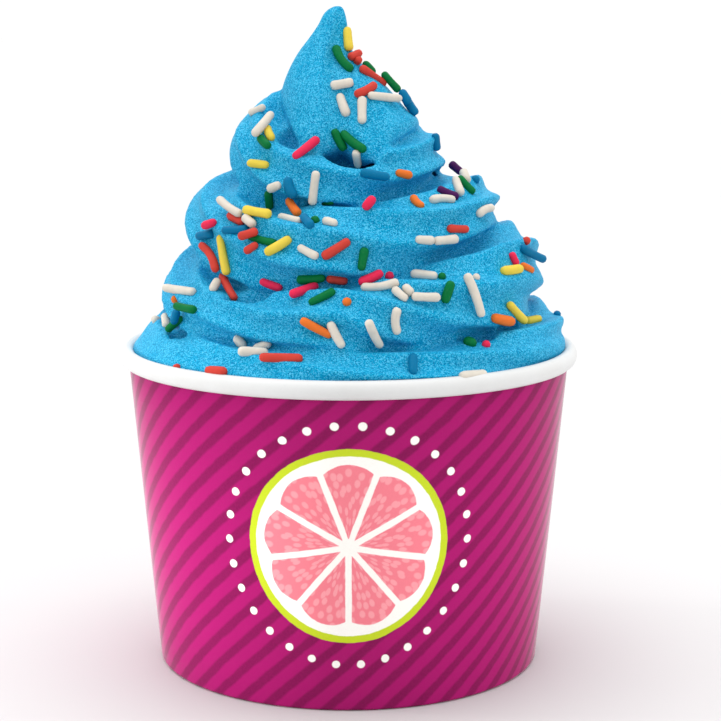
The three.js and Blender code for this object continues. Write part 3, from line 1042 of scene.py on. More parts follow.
@dataclass(frozen=True)
class Swirl:
    """Frozen yogurt piped through a star nozzle into a leaning coil that ends in a pulled peak.

    The tables have eight entries a turn, from the left by the front to the right and the back, and
    start one turn above the rope's own start: the height of the crevice under the rope, and the
    coil's outer radius. A growth is a share at the start, what it gains, and the turns between
    which it does. Other sets of four turns are where something starts, is full, fades and ends. A
    cone is a radius, the height where it has it, its slope and its turns; a dip is its middle, its
    half sizes and its turns; a ring of the peak is its height, half width, and middle across and
    in depth; a drag line is its waves, height, drift and phase.
    """

    cup: PaperCup
    table_start: float = -1.0
    entries: int = 8
    crevice_heights: Tuple[float, ...] = (
        126, 123.2, 121, 119.4, 118.5, 118.2, 118.5, 122.6,
        122.8, 116.6, 112.5, 114.3, 116.5, 114.4, 111, 107.4,
        104.5, 100.8, 100.4, 103.2, 105.5, 103.4, 99, 93.6,
        88.6, 84, 85.8, 90.8, 95, 92.2, 86.5, 80.4,
        75.4, 74.0, 73.6, 75, 77, 75.8, 73, 69.6,
        66.5, 65.4, 65, 64.5, 64, 63.2, 62, 59.6,
        57, 54.9, 53, 50.9, 49, 47.6, 47, 46,
    )
    coil_radii: Tuple[float, ...] = (
        4, 7.9, 9, 8.9, 9, 10.4, 12, 12.7,
        13, 13.2, 13.5, 14.1, 15, 16.3, 18, 20.4,
        22.8, 24.2, 25, 24.8, 24.8, 26.6, 29, 31.2,
        33.2, 34.5, 35.5, 36.2, 36.8, 37.4, 38, 39.4,
        40.9, 42, 43, 43.4, 43.6, 44.2, 45, 47.4,
        49.4, 49.6, 48.8, 48.8, 49.2, 49.4, 49.4, 49.2,
        49, 49, 49, 49, 49, 49, 49, 49,
    )
    first_turn: float = 0.45
    last_turn: float = 4.9
    rings: int = 620
    points: int = 140
    rope_radius: float = 10.0
    rope_growth: Quad = (0.6, 0.4, 0.3, 1.2)
    height_growth: Quad = (0.55, 0.45, 0.3, 0.8)
    flutes: int = 7
    flute_depth: float = 2.3
    shallowest_share: float = 0.8
    flute_softness: float = 0.012
    flute_twists: Tuple[Tuple[float, float], ...] = (
        (1.16, 20), (1.2, 30), (1.25, 38), (1.336, 37), (1.39, 54), (1.49, 87), (2.13, 93), (2.19, 90),
        (2.246, 98), (2.3, 88), (2.34, 88), (2.38, 96), (2.43, 110), (2.55, 122), (3.1, 127), (3.18, 118),
        (3.21, 126), (3.242, 135), (3.262, 119), (3.284, 105), (3.306, 92), (3.33, 83), (3.38, 82),
        (3.42, 90), (3.5, 84), (4.05, 107), (4.1, 106), (4.13, 95), (4.19, 89), (4.25, 87), (4.3, 90),
        (5, 92),
    )
    deepest_at: float = math.radians(-52)
    deepest_spread: float = 1.4
    overlap: Span = (1.13, 1.0)
    squareness: float = 0.8
    axis_limit: float = 0.9
    lean: float = -3.3
    lean_heights: Span = (80, 104)
    cones: Tuple[Tuple[float, ...], ...] = (
        (47.9, 68.5, 0.88, 3.65, 3.85, 4.08, 4.3), (47.2, 68.5, 0, 4.3, 4.42, 4.6, 4.75),
        (21.8, 116.3, 1.1, 0.75, 0.88, 1.03, 1.15),
    )
    cone_pressure: float = 0.85
    square_turns: Quad = (4.28, 4.42, 4.56, 4.7)
    square_gain: float = 0.28
    dips: Tuple[Tuple[Triple, Triple, Span], ...] = (
        ((-0.8, -14.5, 113.2), (9.8, 9.3, 1.4), (0.8, 1.7)),
        ((1.0, -13.0, 113.2), (7.4, 10.8, 6.0), (0.8, 1.7)),
        ((-11.8, -13.4, 116.5), (3.2, 4.6, 5.2), (0.8, 1.7)),
        ((-19.6, -28.9, 88.0), (7.0, 2.7, 8.5), (2.9, 3.4)),
        ((-35.4, -19.6, 78.5), (2.8, 2.9, 8.0), (3.9, 4.3)),
        ((24.6, -29.5, 79.5), (6.5, 4.0, 7.0), (4.0, 4.6)),
    )
    peak_rings: Tuple[Quad, ...] = (
        (109.4, 4, -1, -2), (110.6, 9.5, -1, -3), (111.8, 14.6, -1, -3.5), (112.6, 16.2, -1, -3.5),
        (114, 16.4, -0.9, -3.3), (116.5, 15.8, -0.6, -3), (120, 14.3, -0.9, -2.5), (123.1, 13, -1.9, -2),
        (126.7, 10.8, -3.1, -1.5), (130, 8, -4.5, -1), (133, 5.9, -4.9, -1), (136.3, 4.1, -4.1, -1),
        (139, 3.1, -3.25, -1), (140.8, 2.5, -3.1, -1), (142, 1.7, -2.6, -1), (142.6, 0.7, -2.2, -1),
    )
    peak_left: Pairs = (
        (110, -9.8), (113.7, -10.2), (116.3, -11.7), (118.8, -12.9), (122.6, -14.6), (126, -30),
    )
    left_share: float = 0.12
    peak_steps: int = 140
    peak_points: int = 160
    peak_smoothing: int = 8
    peak_flutes: int = 5
    peak_flute_share: float = 0.05
    peak_flute_softness: float = 0.03
    peak_twist: float = math.radians(-70)
    fold_turns: Pairs = ((110, -94), (119, -92), (128, -87), (133, -72), (142, -60))
    fold_share: float = 0.20
    fold_width: float = 19.0
    ridge_turn: float = -21.0
    ridge_share: float = 0.05
    lip_turns: Pairs = ((110, -61), (114.7, -74), (119, -87), (124, -60))
    lip_share: float = 0.06
    lip_width: float = 10.0
    lip_fade: Span = (117, 123)
    hem_heights: Pairs = (
        (-180, 1.5), (-150, 1.2), (-125, 0.4), (-106, 0), (-93, 1.2), (-80, -0.5), (-68, -1.6),
        (-61, -1.2), (-56, 0.6), (-47, 2.2), (-21, 4), (90, 3.5), (150, 2), (180, 1.5),
    )
    hem_fade: Span = (113, 122)
    core_rings: Pairs = (
        (52, 45), (60, 44), (70, 40), (80, 34), (90, 28), (98, 22), (103, 18), (107, 12), (110, 7), (118, 6),
    )
    core_points: int = 48
    voxel: float = 0.63
    cut_height: float = 56.0
    fill_bottom: float = 8.4
    fill_gap: float = 0.3
    fill_overlap: float = 2.0
    fill_sides: int = 96
    fill_edge: float = 1.2
    mouth_gap: float = 0.05
    mouth_bulge: float = 1.2
    drag_lines: Tuple[Tuple[int, float, float, float], ...] = (
        (10, 0.10, 1.3, 0.4), (15, 0.09, -2.1, 2.2), (22, 0.07, 3.4, 4.0), (31, 0.05, -4.6, 1.1),
        (3, 0.22, 2.3, 5.2), (5, 0.14, -5.1, 3.0),
    )

    def _table(self, values: Sequence[float], turn: np.ndarray) -> np.ndarray:
        """Reads a table smoothly at any turn.

        Args:
            values: The table's entries, an eighth of a turn apart.
            turn: The turns that are read.

        Returns:
            The values there.
        """
        table = np.asarray(values, float)
        place = (np.asarray(turn, float) - self.table_start) * self.entries
        index = np.clip(np.floor(place).astype(int), 1, len(table) - 3)
        share = place - index
        before, here, after, later = table[index - 1], table[index], table[index + 1], table[index + 2]
        bend = share * (3 * (here - after) + later - before)
        curve = 2 * before - 5 * here + 4 * after - later + bend
        return here + 0.5 * share * (after - before + share * curve)

    @staticmethod
    def _between(pairs: Pairs, place: np.ndarray) -> np.ndarray:
        """Reads a table of places and values in straight steps."""
        return np.interp(place, [pair[0] for pair in pairs], [pair[1] for pair in pairs])

    @staticmethod
    def _grown(turn: np.ndarray, growth: Quad) -> np.ndarray:
        """Gives the share that a growth has reached at each turn."""
        return growth[0] + growth[1] * smoothstep(turn, *growth[2:])

    def _lean_at(self, height: np.ndarray) -> np.ndarray:
        """Gives how far the coil's axis leans to the left at a height."""
        return self.lean * smoothstep(height, *self.lean_heights)

    def _rope_points(self) -> np.ndarray:
        """Places the rope's rings of points along its coil.

        Returns:
            Rings of points in millimetres.
        """
        turn, angle = np.meshgrid(
            np.linspace(self.first_turn, self.last_turn, self.rings),
            np.linspace(0, TURN, self.points + 1),
            indexing="ij",
        )
        around = TURN * turn - math.pi
        radius = self.rope_radius * self._grown(turn, self.rope_growth)
        low = self._table(self.crevice_heights, turn)
        high = self._table(self.crevice_heights, turn - 1)
        half = (high - low) / 2 * self._grown(turn, self.height_growth)
        coil = self._table(self.coil_radii, turn) - radius
        own_angle = angle - np.radians(self._between(self.flute_twists, turn)) + around
        wave = np.sqrt(np.sin(self.flutes * own_angle / 2) ** 2 + self.flute_softness)
        facing = np.clip((np.cos(around - self.deepest_at) + 1) / self.deepest_spread, 0, 1)
        depth = self.flute_depth * (self.shallowest_share + (1 - self.shallowest_share) * facing)
        reach = radius - depth * wave
        for waves, height, drift, phase in self.drag_lines:
            reach = reach + height * np.sin(waves * own_angle + drift * TURN * turn + phase)
        blunt = hump(turn, *self.square_turns) * (np.sin(angle) > 0)
        power = self.squareness - self.square_gain * blunt
        squared = np.sign(np.cos(angle)) * np.abs(np.cos(angle)) ** power
        across = coil + np.maximum(reach * squared, -self.axis_limit * coil)
        stretch = (self.overlap[0] * half + self.overlap[1]) / radius
        height = low + half
        rise = height + reach * np.sin(angle) * stretch
        for radius_there, height_there, slope, *turns in self.cones:
            beyond = across - (radius_there - slope * (rise - height_there))
            across = across - self.cone_pressure * hump(turn, *turns) * np.maximum(beyond, 0)
        aside = self._lean_at(height) + across * np.cos(around)
        return self._dip(np.stack([aside, across * np.sin(around), rise], -1), turn)

    def _dip(self, points: np.ndarray, turn: np.ndarray) -> np.ndarray:
        """Presses the rope down under the next turn or the peak's hem, which leaves dark hollows.

        Args:
            points: The rope's points in millimetres.
            turn: The turn that each belongs to.

        Returns:
            The points, none above the floor of a hollow.
        """
        for centre, half, (first, last) in self.dips:
            offset = (points - np.array(centre)) / np.array(half)
            inside = 1 - offset[..., 0] ** 2 - offset[..., 1] ** 2
            floor = centre[2] - half[2] * np.sqrt(np.clip(inside, 0, 1))
            pressed = (inside > 0) & (points[..., 2] > floor) & (turn > first) & (turn < last)
            points[..., 2] = np.where(pressed, floor, points[..., 2])
        return points

    def _peak_points(self) -> np.ndarray:
        """Places the peak's rings of points: a twisted, leaning spike of two folds on a broad hem.

        Returns:
            Rings of points in millimetres.
        """
        rings = np.array(self.peak_rings)
        knots = np.arange(len(rings))
        fine = np.linspace(0, len(rings) - 1, self.peak_steps)
        columns = [np.interp(fine, knots, column) for column in rings.T]
        for _ in range(self.peak_smoothing):
            for row in columns:
                row[1:-1] = (row[:-2] + 2 * row[1:-1] + row[2:]) / 4
        height, half, middle, depth = (column[:, None] for column in columns)
        angle = np.linspace(-math.pi, math.pi, self.peak_points + 1)[None, :]
        degrees = np.degrees(angle)
        share = (height - height.min()) / (height.max() - height.min())
        fluted = np.sin(self.peak_flutes * (angle + self.peak_twist * share) / 2) ** 2
        wave = np.sqrt(fluted + self.peak_flute_softness)
        fold_turn = self._between(self.fold_turns, height)
        fold = bell(degrees, fold_turn, self.fold_width)
        lip = bell(degrees, self._between(self.lip_turns, height), self.lip_width)
        lip = lip * (1 - smoothstep(height, *self.lip_fade))
        ridge = bell(degrees, fold_turn + self.ridge_turn, self.lip_width)
        bulge = self.lip_share * lip + self.ridge_share * ridge
        reach = half * (1 - self.peak_flute_share * wave - self.fold_share * fold + bulge)
        lift = self._between(self.hem_heights, degrees) * (1 - smoothstep(height, *self.hem_fade))
        across = middle + reach * np.cos(angle)
        edge = self._between(self.peak_left, height)
        across = np.where(across < edge, edge + self.left_share * (across - edge), across)
        return np.stack([across, depth + reach * np.sin(angle), height + lift], -1)

    def _core_points(self) -> np.ndarray:
        """Places the rings of the solid heart inside the coil.

        Returns:
            Rings of points in millimetres.
        """
        angle = np.linspace(0, TURN, self.core_points + 1)[None, :]
        height, reach = np.array(self.core_rings, float).T[:, :, None]
        across = self._lean_at(height) + reach * np.cos(angle)
        return np.stack([across, reach * np.sin(angle), height + 0 * angle], -1)

    def _keep_in_cup(self, swirl: Piece) -> None:
        """Presses the yogurt against the cup's mouth, where it lies on the rim's roll.

        Args:
            swirl: The swirl.
        """
        cup = self.cup
        points = Bench.places(swirl)
        reach = np.hypot(points[:, 0], points[:, 1])
        over = points[:, 2] - cup.rim_height
        rise = np.clip(over / cup.rim_half_height, 0, 1)
        roll = cup.rim_radius - cup.rim_half_width * np.sqrt(1 - rise**2) - self.mouth_gap
        room = roll + self.mouth_bulge * smoothstep(over, cup.rim_half_height, 2 * cup.rim_half_height)
        share = np.where(reach > room, room / np.maximum(reach, CLOSE), 1.0)
        points[:, :2] *= share[:, None]
        Bench.move_to(swirl, points)

    def build_swirl(self) -> Piece:
        """Models the piped coil with its peak as one body.

        Returns:
            The swirl.
        """
        parts = {"rope": self._rope_points(), "peak": self._peak_points(), "core": self._core_points()}
        swirl = Bench.join([Bench.sheet(name, points) for name, points in parts.items()], "yogurt_swirl")
        Bench.apply(swirl, "REMESH", mode="VOXEL", voxel_size=self.voxel * MM, use_smooth_shade=True)
        tip = Bench.places(swirl)[:, 2].max()
        cut = {"plane_co": (0, 0, self.cut_height * MM), "plane_no": (0, 0, 1)}
        with Bench.editing(swirl):
            Bench.pick(swirl, Element.VERTICES, lambda vertex: vertex.co.z > (tip - self.voxel) * MM)
            bpy.ops.mesh.select_linked()
            bpy.ops.mesh.select_all(action="INVERT")
            bpy.ops.mesh.delete(type="VERT")
            bpy.ops.mesh.select_all(action="SELECT")
            bpy.ops.mesh.bisect(use_fill=True, clear_inner=True, **cut)
        Bench.apply(swirl, "SMOOTH", factor=0.5, iterations=2)
        self._keep_in_cup(swirl)
        bpy.ops.object.shade_smooth()
        return swirl

    def build_fill(self) -> Piece:
        """Models the yogurt that fills the cup below the swirl.

        Returns:
            The fill.
        """
        top = self.cut_height + self.fill_overlap
        fill = Bench.add(
            bpy.ops.mesh.primitive_cone_add,
            "yogurt_fill",
            vertices=self.fill_sides,
            radius1=(self.cup.inner_radius(self.fill_bottom) - self.fill_gap) * MM,
            radius2=(self.cup.inner_radius(top) - self.fill_gap) * MM,
            depth=(top - self.fill_bottom) * MM,
            location=(0, 0, (top + self.fill_bottom) / 2 * MM),
        )
        Bench.apply(fill, "BEVEL", width=self.fill_edge * MM, segments=3, limit_method="ANGLE")
        bpy.ops.object.shade_smooth_by_angle(angle=math.radians(40))
        return fill

    def place(self) -> List[Piece]:
        """Builds, dresses and hands over the yogurt.

        Returns:
            The yogurt's pieces, the swirl first.
        """
        finish = YogurtFinish().material()
        pieces = [self.build_swirl(), self.build_fill()]
        for piece in pieces:
            piece.data.materials.clear()
            piece.data.materials.append(finish)
            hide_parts("yogurt")
        return pieces


# ---- camera and studio


@dataclass(frozen=True)
class Eye:
    """The camera: its place and tilt in millimetres, and its square picture in pixels."""

    picture: int = 721
    focal: float = 1952.3
    distance: float = 430.2
    tilt: float = math.radians(9.807)
    aim_height: float = 65.69
    centre_x: float = 348.5

    def place(self) -> Vector:
        """Gives the camera's place in millimetres."""
        level, rise = self.distance * math.cos(self.tilt), self.distance * math.sin(self.tilt)
        return Vector((0, -level, self.aim_height + rise))

    def axes(self) -> Tuple[Vector, Vector, Vector]:
        """Gives the camera's right, up and forward directions."""
        sine, cosine = math.sin(self.tilt), math.cos(self.tilt)
        return Vector((1, 0, 0)), Vector((0, sine, cosine)), Vector((0, cosine, -sine))

    def ray(self, x: float, y: float) -> Vector:
        """Gives the direction in which the camera sees a point of its picture.

        Args:
            x: The point's distance from the left edge, in pixels.
            y: Its distance from the top edge.

        Returns:
            The direction, of length 1.
        """
        right, up, forward = self.axes()
        middle = self.picture / 2
        return (right * (x - self.centre_x) + up * (middle - y) + forward * self.focal).normalized()

    def meet(self, tree: BVHTree, x: float, y: float) -> Hit:
        """Gives the first place of a surface behind a point of the picture."""
        return tree.ray_cast(self.place(), self.ray(x, y))

    def add(self) -> None:
        """Adds the camera to the scene."""
        data = bpy.data.cameras.new("camera")
        data.sensor_width = 36.0
        data.lens = self.focal / self.picture * data.sensor_width
        data.shift_x = (self.picture / 2 - self.centre_x) / self.picture
        data.clip_start = 0.01
        data.clip_end = 20.0
        camera = Bench.link("camera", data)
        camera.location = self.place() * MM
        camera.rotation_euler = (math.pi / 2 - self.tilt, 0, 0)
        bpy.context.scene.camera = camera


@dataclass(frozen=True)
class Softbox:
    """A soft light: its place and aim in metres, its size, strength and spread."""

    name: str
    place: Triple
    aim: Triple
    width: float
    height: float
    power: float
    spread: float

    def add(self) -> None:
        """Adds the light to the scene."""
        data = bpy.data.lights.new(self.name, "AREA")
        data.shape = "RECTANGLE"
        data.size = self.width
        data.size_y = self.height
        data.energy = self.power
        data.spread = self.spread
        lamp = Bench.link(self.name, data)
        lamp.visible_glossy = False
        lamp.location = self.place
        lamp.rotation_euler = (Vector(self.aim) - Vector(self.place)).to_track_quat("-Z", "Y").to_euler()


@dataclass(frozen=True)
class Studio:
    """A white surround, a pale floor and soft lights."""

    world_strength: float = 1.02
    top_strength: float = 1.6
    top_spread: float = math.radians(70)
    top_turn: Triple = (math.radians(-6), math.radians(-6), 0.0)
    floor_size: float = 30.0
    softboxes: Tuple[Softbox, ...] = (
        Softbox("low_left", (-0.65, 0.06, 0.035), (0, 0, 0.03), 0.30, 0.04, 0.085, math.radians(11)),
        Softbox("low_right", (0.64, 0.06, 0.035), (0, 0, 0.03), 0.30, 0.04, 0.030, math.radians(11)),
    )

    def place(self) -> None:
        """Sets up the surround, the lights and the floor."""
        world = bpy.data.worlds.new("studio")
        world.use_nodes = True
        background = world.node_tree.nodes["Background"]
        background.inputs["Color"].default_value = (1, 1, 1, 1)
        background.inputs["Strength"].default_value = self.world_strength
        bpy.context.scene.world = world
        bpy.context.scene.view_settings.view_transform = "Standard"
        sky = bpy.data.lights.new("top", "SUN")
        sky.energy = self.top_strength
        sky.angle = self.top_spread
        Bench.link("top", sky).rotation_euler = self.top_turn
        for softbox in self.softboxes:
            softbox.add()
        floor = Bench.add(bpy.ops.mesh.primitive_plane_add, "studio_floor", size=self.floor_size)
        floor.data.materials.append(FloorFinish().material())


# ---- sprinkles


class Sugar(Enum):
    """The sprinkles' colours."""

    WHITE = paint(244, 235, 221)
    GREEN = paint(0, 126, 64)
    RED = paint(227, 75, 63)
    BLUE = paint(0, 128, 178)
    YELLOW = paint(255, 227, 86)
    PINK = paint(255, 50, 94)
    ORANGE = paint(255, 130, 52)
    PURPLE = paint(84, 28, 93)


# Rods on the near side, as the camera sees them: x, y, length and slant on its picture, and bend.
# x and y are in pixels from the top left corner, the slant is in degrees, downwards to the right.
NEAR_RODS: Dict[Sugar, Tuple[Entry, ...]] = {
    Sugar.YELLOW: (
        (348, 39, 23, 85, 8), (269, 133, 14, 70, 40), (258, 164, 21, 6, 5), (257, 212, 27, 10, 5),
        (278, 246, 30, -31, 12), (223, 255, 40, 80, 8), (517, 313, 25, 48, 10), (533, 320, 15, -12, 10),
        (512, 270, 20, -8, 10),
    ),
    Sugar.GREEN: (
        (342, 59, 30, 55, 50), (369, 68, 16, 48, 20), (391, 82, 25, 48, 10), (339, 140, 24, 62, 10),
        (353, 142, 30, 38, 25), (264, 142, 14, 45, 20), (269, 200, 18, 85, 8), (262, 240, 28, 15, 15),
        (363, 259, 23, 100, 6), (311, 279, 28, -5, 10), (322, 297, 29, -27, 10), (448, 292, 23, 108, 6),
        (442, 277, 7, 0, 0), (185, 308, 21, 12, 8), (174, 324, 20, -42, 8), (470, 342, 13, 20, 5),
        (466, 185, 23, 46, 10), (315, 221, 5, 0, 0),
    ),
    Sugar.RED: (
        (355, 55, 12, -25, 10), (362, 59, 8, -45, 10), (373, 76, 30, 35, 8), (366, 90, 23, -27, 30),
        (236, 219, 17, 30, 8), (248, 234, 20, -18, 8), (251, 248, 15, -33, 8), (210, 256, 32, 60, -45),
        (228, 287, 28, 62, 10), (336, 249, 32, -32, 5), (281, 358, 43, 2, 2), (177, 368, 8, 5, 0),
        (216, 371, 20, 5, 0), (458, 229, 20, 2, 5), (526, 241, 10, 65, 0), (337, 280, 21, 8, 5),
    ),
    Sugar.WHITE: (
        (342, 84, 23, -10, 5), (385, 97, 33, 6, 5), (343, 105, 23, 70, 10), (362, 110, 26, 90, 4),
        (357, 159, 16, 80, 8), (257, 110, 16, -25, 5), (263, 124, 29, -50, 6), (274, 187, 12, -25, 5),
        (314, 188, 34, 97, 4), (229, 207, 27, 36, 12), (249, 221, 13, 40, 8), (290, 219, 22, 12, 6),
        (330, 222, 14, 15, 8), (308, 252, 22, 28, 8), (215, 285, 12, -60, 0), (380, 286, 38, -8, 35),
        (400, 294, 18, 40, 20), (408, 290, 12, 50, 10), (426, 297, 28, 2, 4), (424, 275, 26, 6, 12),
        (475, 295, 46, 70, -16), (476, 278, 8, 20, 0), (336, 335, 29, 62, 10), (374, 334, 29, 64, 10),
        (396, 321, 27, 90, 55), (240, 342, 14, 50, 5), (253, 352, 30, 3, 6), (262, 346, 18, -20, 8),
        (179, 290, 33, 9, 8), (156, 320, 8, 0, 0), (166, 321, 13, 80, 0), (473, 375, 26, -6, 3),
        (465, 176, 12, 70, 5), (458, 186, 18, 70, 8), (442, 199, 25, 0, -60), (485, 210, 17, -25, -40),
        (425, 240, 18, 4, 4), (446, 240, 23, -5, 4),
    ),
    Sugar.PINK: (
        (306, 148, 31, -38, 6), (369, 203, 16, -50, 8), (209, 224, 13, -20, 5), (271, 285, 23, 20, 10),
        (304, 290, 28, -20, 8), (371, 278, 26, -25, 25), (389, 276, 11, 0, 0), (514, 259, 14, 65, 8),
        (486, 345, 9, 0, 0),
    ),
    Sugar.ORANGE: (
        (404, 174, 16, 12, 6), (293, 207, 18, 55, 10), (347, 302, 8, 0, 0), (316, 328, 35, 28, 6),
        (176, 299, 9, 105, 0), (503, 320, 21, 12, 8), (527, 268, 13, 28, 5), (417, 202, 15, 45, 50),
    ),
    Sugar.BLUE: (
        (411, 107, 19, 55, 8), (405, 97, 16, 60, 5), (375, 175, 29, 10, 8), (436, 142, 17, 85, 6),
        (290, 188, 22, 70, 60), (205, 235, 16, -10, 6), (235, 230, 26, -3, 8), (307, 221, 14, 50, 10),
        (413, 364, 20, 90, 4), (533, 254, 26, 28, 8), (562, 313, 9, 0, 0), (475, 180, 9, -10, 0),
        (175, 317, 14, 105, 0),
    ),
    Sugar.PURPLE: ((456, 168, 16, 40, 8), (448, 193, 23, 24, 12)),
}


# The places along a rod where its distance to other rods and to the camera's sight is taken.
MARKS = (-0.38, -0.19, 0.0, 0.19, 0.38)


@dataclass
class Rod:
    """One sprinkle where it lies: middle, direction, the side away from the yogurt, and its shape."""

    middle: Vector
    along: Vector
    away: Vector
    length: float
    radius: float
    bend: float

    def marks(self) -> List[Vector]:
        """Gives points along the rod's middle line."""
        return [self.middle + self.along * (share * self.length) for share in MARKS]

    def gap(self, other: "Rod") -> float:
        """Gives the distance to another rod's middle line, sampled along both.

        Args:
            other: The other rod.

        Returns:
            The distance in millimetres, endless where the rods can't touch.
        """
        if (self.middle - other.middle).length > (self.length + other.length) / 2:
            return math.inf
        return min((one - two).length for one in self.marks() for two in other.marks())


def steepness(pairs: Sequence[Span], least: float, limit: float) -> float:
    """Gives the slope of the straight line that lies best through some points.

    Args:
        pairs: The place and the height of each point.
        least: The least spread of the places that counts in full.
        limit: The steepest slope, up or down.

    Returns:
        The slope.
    """
    count = max(len(pairs), 1)
    middle, level = sum(place for place, _ in pairs) / count, sum(height for _, height in pairs) / count
    spread = sum((place - middle) ** 2 for place, _ in pairs)
    slope = sum((place - middle) * (height - level) for place, height in pairs) / max(spread, least)
    return max(-limit, min(limit, slope))


@dataclass
class Sprinkles:
    """Loose sugar rods on the swirl: the near ones one by one, the rest scattered.

    Stations are the places along a rod, as shares of its length, where the yogurt under it is felt.
    A cap is one ring of a rod's rounded end: how far it rises, and its share of the last one's width.
    """

    swirl: Piece
    eye: Eye
    radius: float = 0.93
    plumpness: float = 0.07
    plump_mix: Span = (1.7, 2.3)
    swell: float = 0.05
    swell_waves: float = 5
    swell_phases: Span = (0, 6.28)
    thickness: Span = (-0.05, 0.06)
    sides: int = 8
    shortest: float = 2.6
    longest: float = 9.6
    sunk: float = 0.30
    caps: Pairs = ((0.26, 0.86), (0.17, 0.56))
    end_share: float = 0.86
    least_body: float = 0.2
    straightest: float = 0.5
    straight_curve: float = 1e-4
    stations: Tuple[float, ...] = (-0.42, -0.21, 0.0, 0.21, 0.42)
    probe_lift: float = 4.0
    probe_reach: float = 9.0
    steepest_far: float = 0.9
    steepest_near: float = 1.1
    least_spread_far: float = 1e-6
    least_spread_near: float = 0.2
    nudges: int = 30
    nudge_down: float = 0.4
    stub_pixels: float = 12.0
    stub_length: float = 5.0
    stub_aim: Span = (0.75, 0.65)
    stub_proud: float = 1.1
    deepest: float = 4.0
    flattest: float = 0.45
    overhang: float = -0.1
    lift_tries: int = 6
    lift_step: float = 0.4
    rod_gap: float = 1.55
    far_count: int = 130
    far_tries: int = 6000
    far_lengths: Span = (3.6, 7.8)
    far_bends: Tuple[int, ...] = (0, 4, 8, -10, 12, 25, -35, 50)
    far_bend_shares: Span = (0.6, 1.2)
    far_radius_shares: Span = (0.92, 1.06)
    far_down: float = -0.15
    far_level: float = 0.35
    seen_within: float = 1.5
    lowest: float = 71.5
    nearest: float = 1.0
    spacing: float = 2.4
    cluster_share: float = 0.3
    clearance: float = 3.0
    seed: int = 11

    def __post_init__(self) -> None:
        """Reads the yogurt's surface, in millimetres."""
        faces = [tuple(face.vertices) for face in self.swirl.data.polygons]
        self.tree = BVHTree.FromPolygons([tuple(point) for point in Bench.places(self.swirl)], faces)
        self.laid: List[Rod] = []

    def _template(self) -> Piece:
        """Models one straight rod of length 2 and radius 1, with rounded ends.

        Returns:
            The rod, lying along Z.
        """
        sizes = {"vertices": self.sides, "radius": 1, "depth": 1.0}
        rod = Bench.add(bpy.ops.mesh.primitive_cylinder_add, "rod", end_fill_type="NGON", **sizes)
        with Bench.editing(rod):
            Bench.pick(rod, Element.EDGES, lambda edge: climb(edge) > 0.5)
            bpy.ops.mesh.subdivide(number_cuts=3)
            for sign in (1, -1):
                Bench.pick(rod, Element.FACES, lambda face: face.normal.z * sign > 0.9)
                for rise, share in self.caps:
                    bpy.ops.mesh.extrude_region_move(TRANSFORM_OT_translate={"value": (0, 0, rise * sign)})
                    bpy.ops.transform.resize(value=(share, share, 1), center_override=(0, 0, 0))
            Bench.face_out()
        bpy.ops.object.shade_smooth()
        return rod

    def _shape(self, template: Piece, rod: Rod, seed: int) -> Piece:
        """Copies the template to one rod's place, length and bend.

        Args:
            template: The straight rod.
            rod: Where and how the rod lies.
            seed: The rod's own number, for its small unevenness.

        Returns:
            The copy.
        """
        copy = Bench.link(template.name, template.data.copy())
        chance = random.Random(seed)
        side_on, upright, down = Bench.read(copy.data.vertices, "co", 3).T
        end = rod.radius * self.end_share
        body = max(rod.length / 2 - end, self.least_body)
        beyond = np.maximum(np.abs(down) - 0.5, 0) / sum(rise for rise, _ in self.caps)
        place = np.sign(down) * (np.minimum(np.abs(down), 0.5) / 0.5 * body + beyond * end)
        phase = chance.uniform(*self.swell_phases)
        swell = self.swell * np.sin(place / rod.length * self.swell_waves + phase)
        plump = 1 + swell + chance.uniform(*self.thickness)
        across, lift = side_on * rod.radius * plump, upright * rod.radius * plump
        bent = abs(rod.bend) > self.straightest
        curve = math.radians(rod.bend) / rod.length if bent else self.straight_curve
        turn = curve * place
        mid = (1 - math.cos(curve * rod.length / 4)) / curve
        lengthwise = np.sin(turn) / curve - across * np.sin(turn)
        sideways = (1 - np.cos(turn)) / curve - mid + across * np.cos(turn)
        axes = np.array([rod.along, rod.away.cross(rod.along), rod.away])
        Bench.move_to(copy, np.array(rod.middle) + np.stack([lengthwise, sideways, lift], -1) @ axes)
        return copy

    def _settle(self, point: Vector, away: Vector, along: Vector, length: float) -> Tuple[Vector, ...]:
        """Lays a rod down until it rests on the yogurt.

        Args:
            point: Where the rod lies.
            away: The surface's normal there.
            along: The rod's wanted direction.
            length: Its length.

        Returns:
            The rod's middle, direction and outward side.
        """
        pairs = []
        for share in self.stations:
            start = point + along * (share * length) + away * self.probe_lift
            hit = self.tree.ray_cast(start, -away, self.probe_reach)
            if hit[0] is not None:
                pairs.append((share * length, self.probe_lift - hit[3]))
        proud = 1 - 2 * self.sunk
        if len(pairs) < 2:
            return point + away * self.radius * proud, along, away
        slope = steepness(pairs, self.least_spread_far, self.steepest_far)
        rest = max(height - slope * place for place, height in pairs)
        tilted = (along + away * slope).normalized()
        side = away.cross(along).normalized()
        outward = tilted.cross(side).normalized()
        if outward.dot(away) < 0:
            outward = -outward
        return point + away * rest + outward * self.radius * proud, tilted, outward

    def _lay(self, rod: Rod, way: Optional[Vector] = None) -> None:
        """Lifts a rod as long as it would lie in another one.

        Args:
            rod: The rod.
            way: The direction of the lift, or nothing for away from the yogurt.
        """
        for _ in range(self.lift_tries):
            if min((rod.gap(other) for other in self.laid), default=math.inf) > self.rod_gap * self.radius:
                return
            rod.middle = rod.middle + (way or rod.away) * self.lift_step

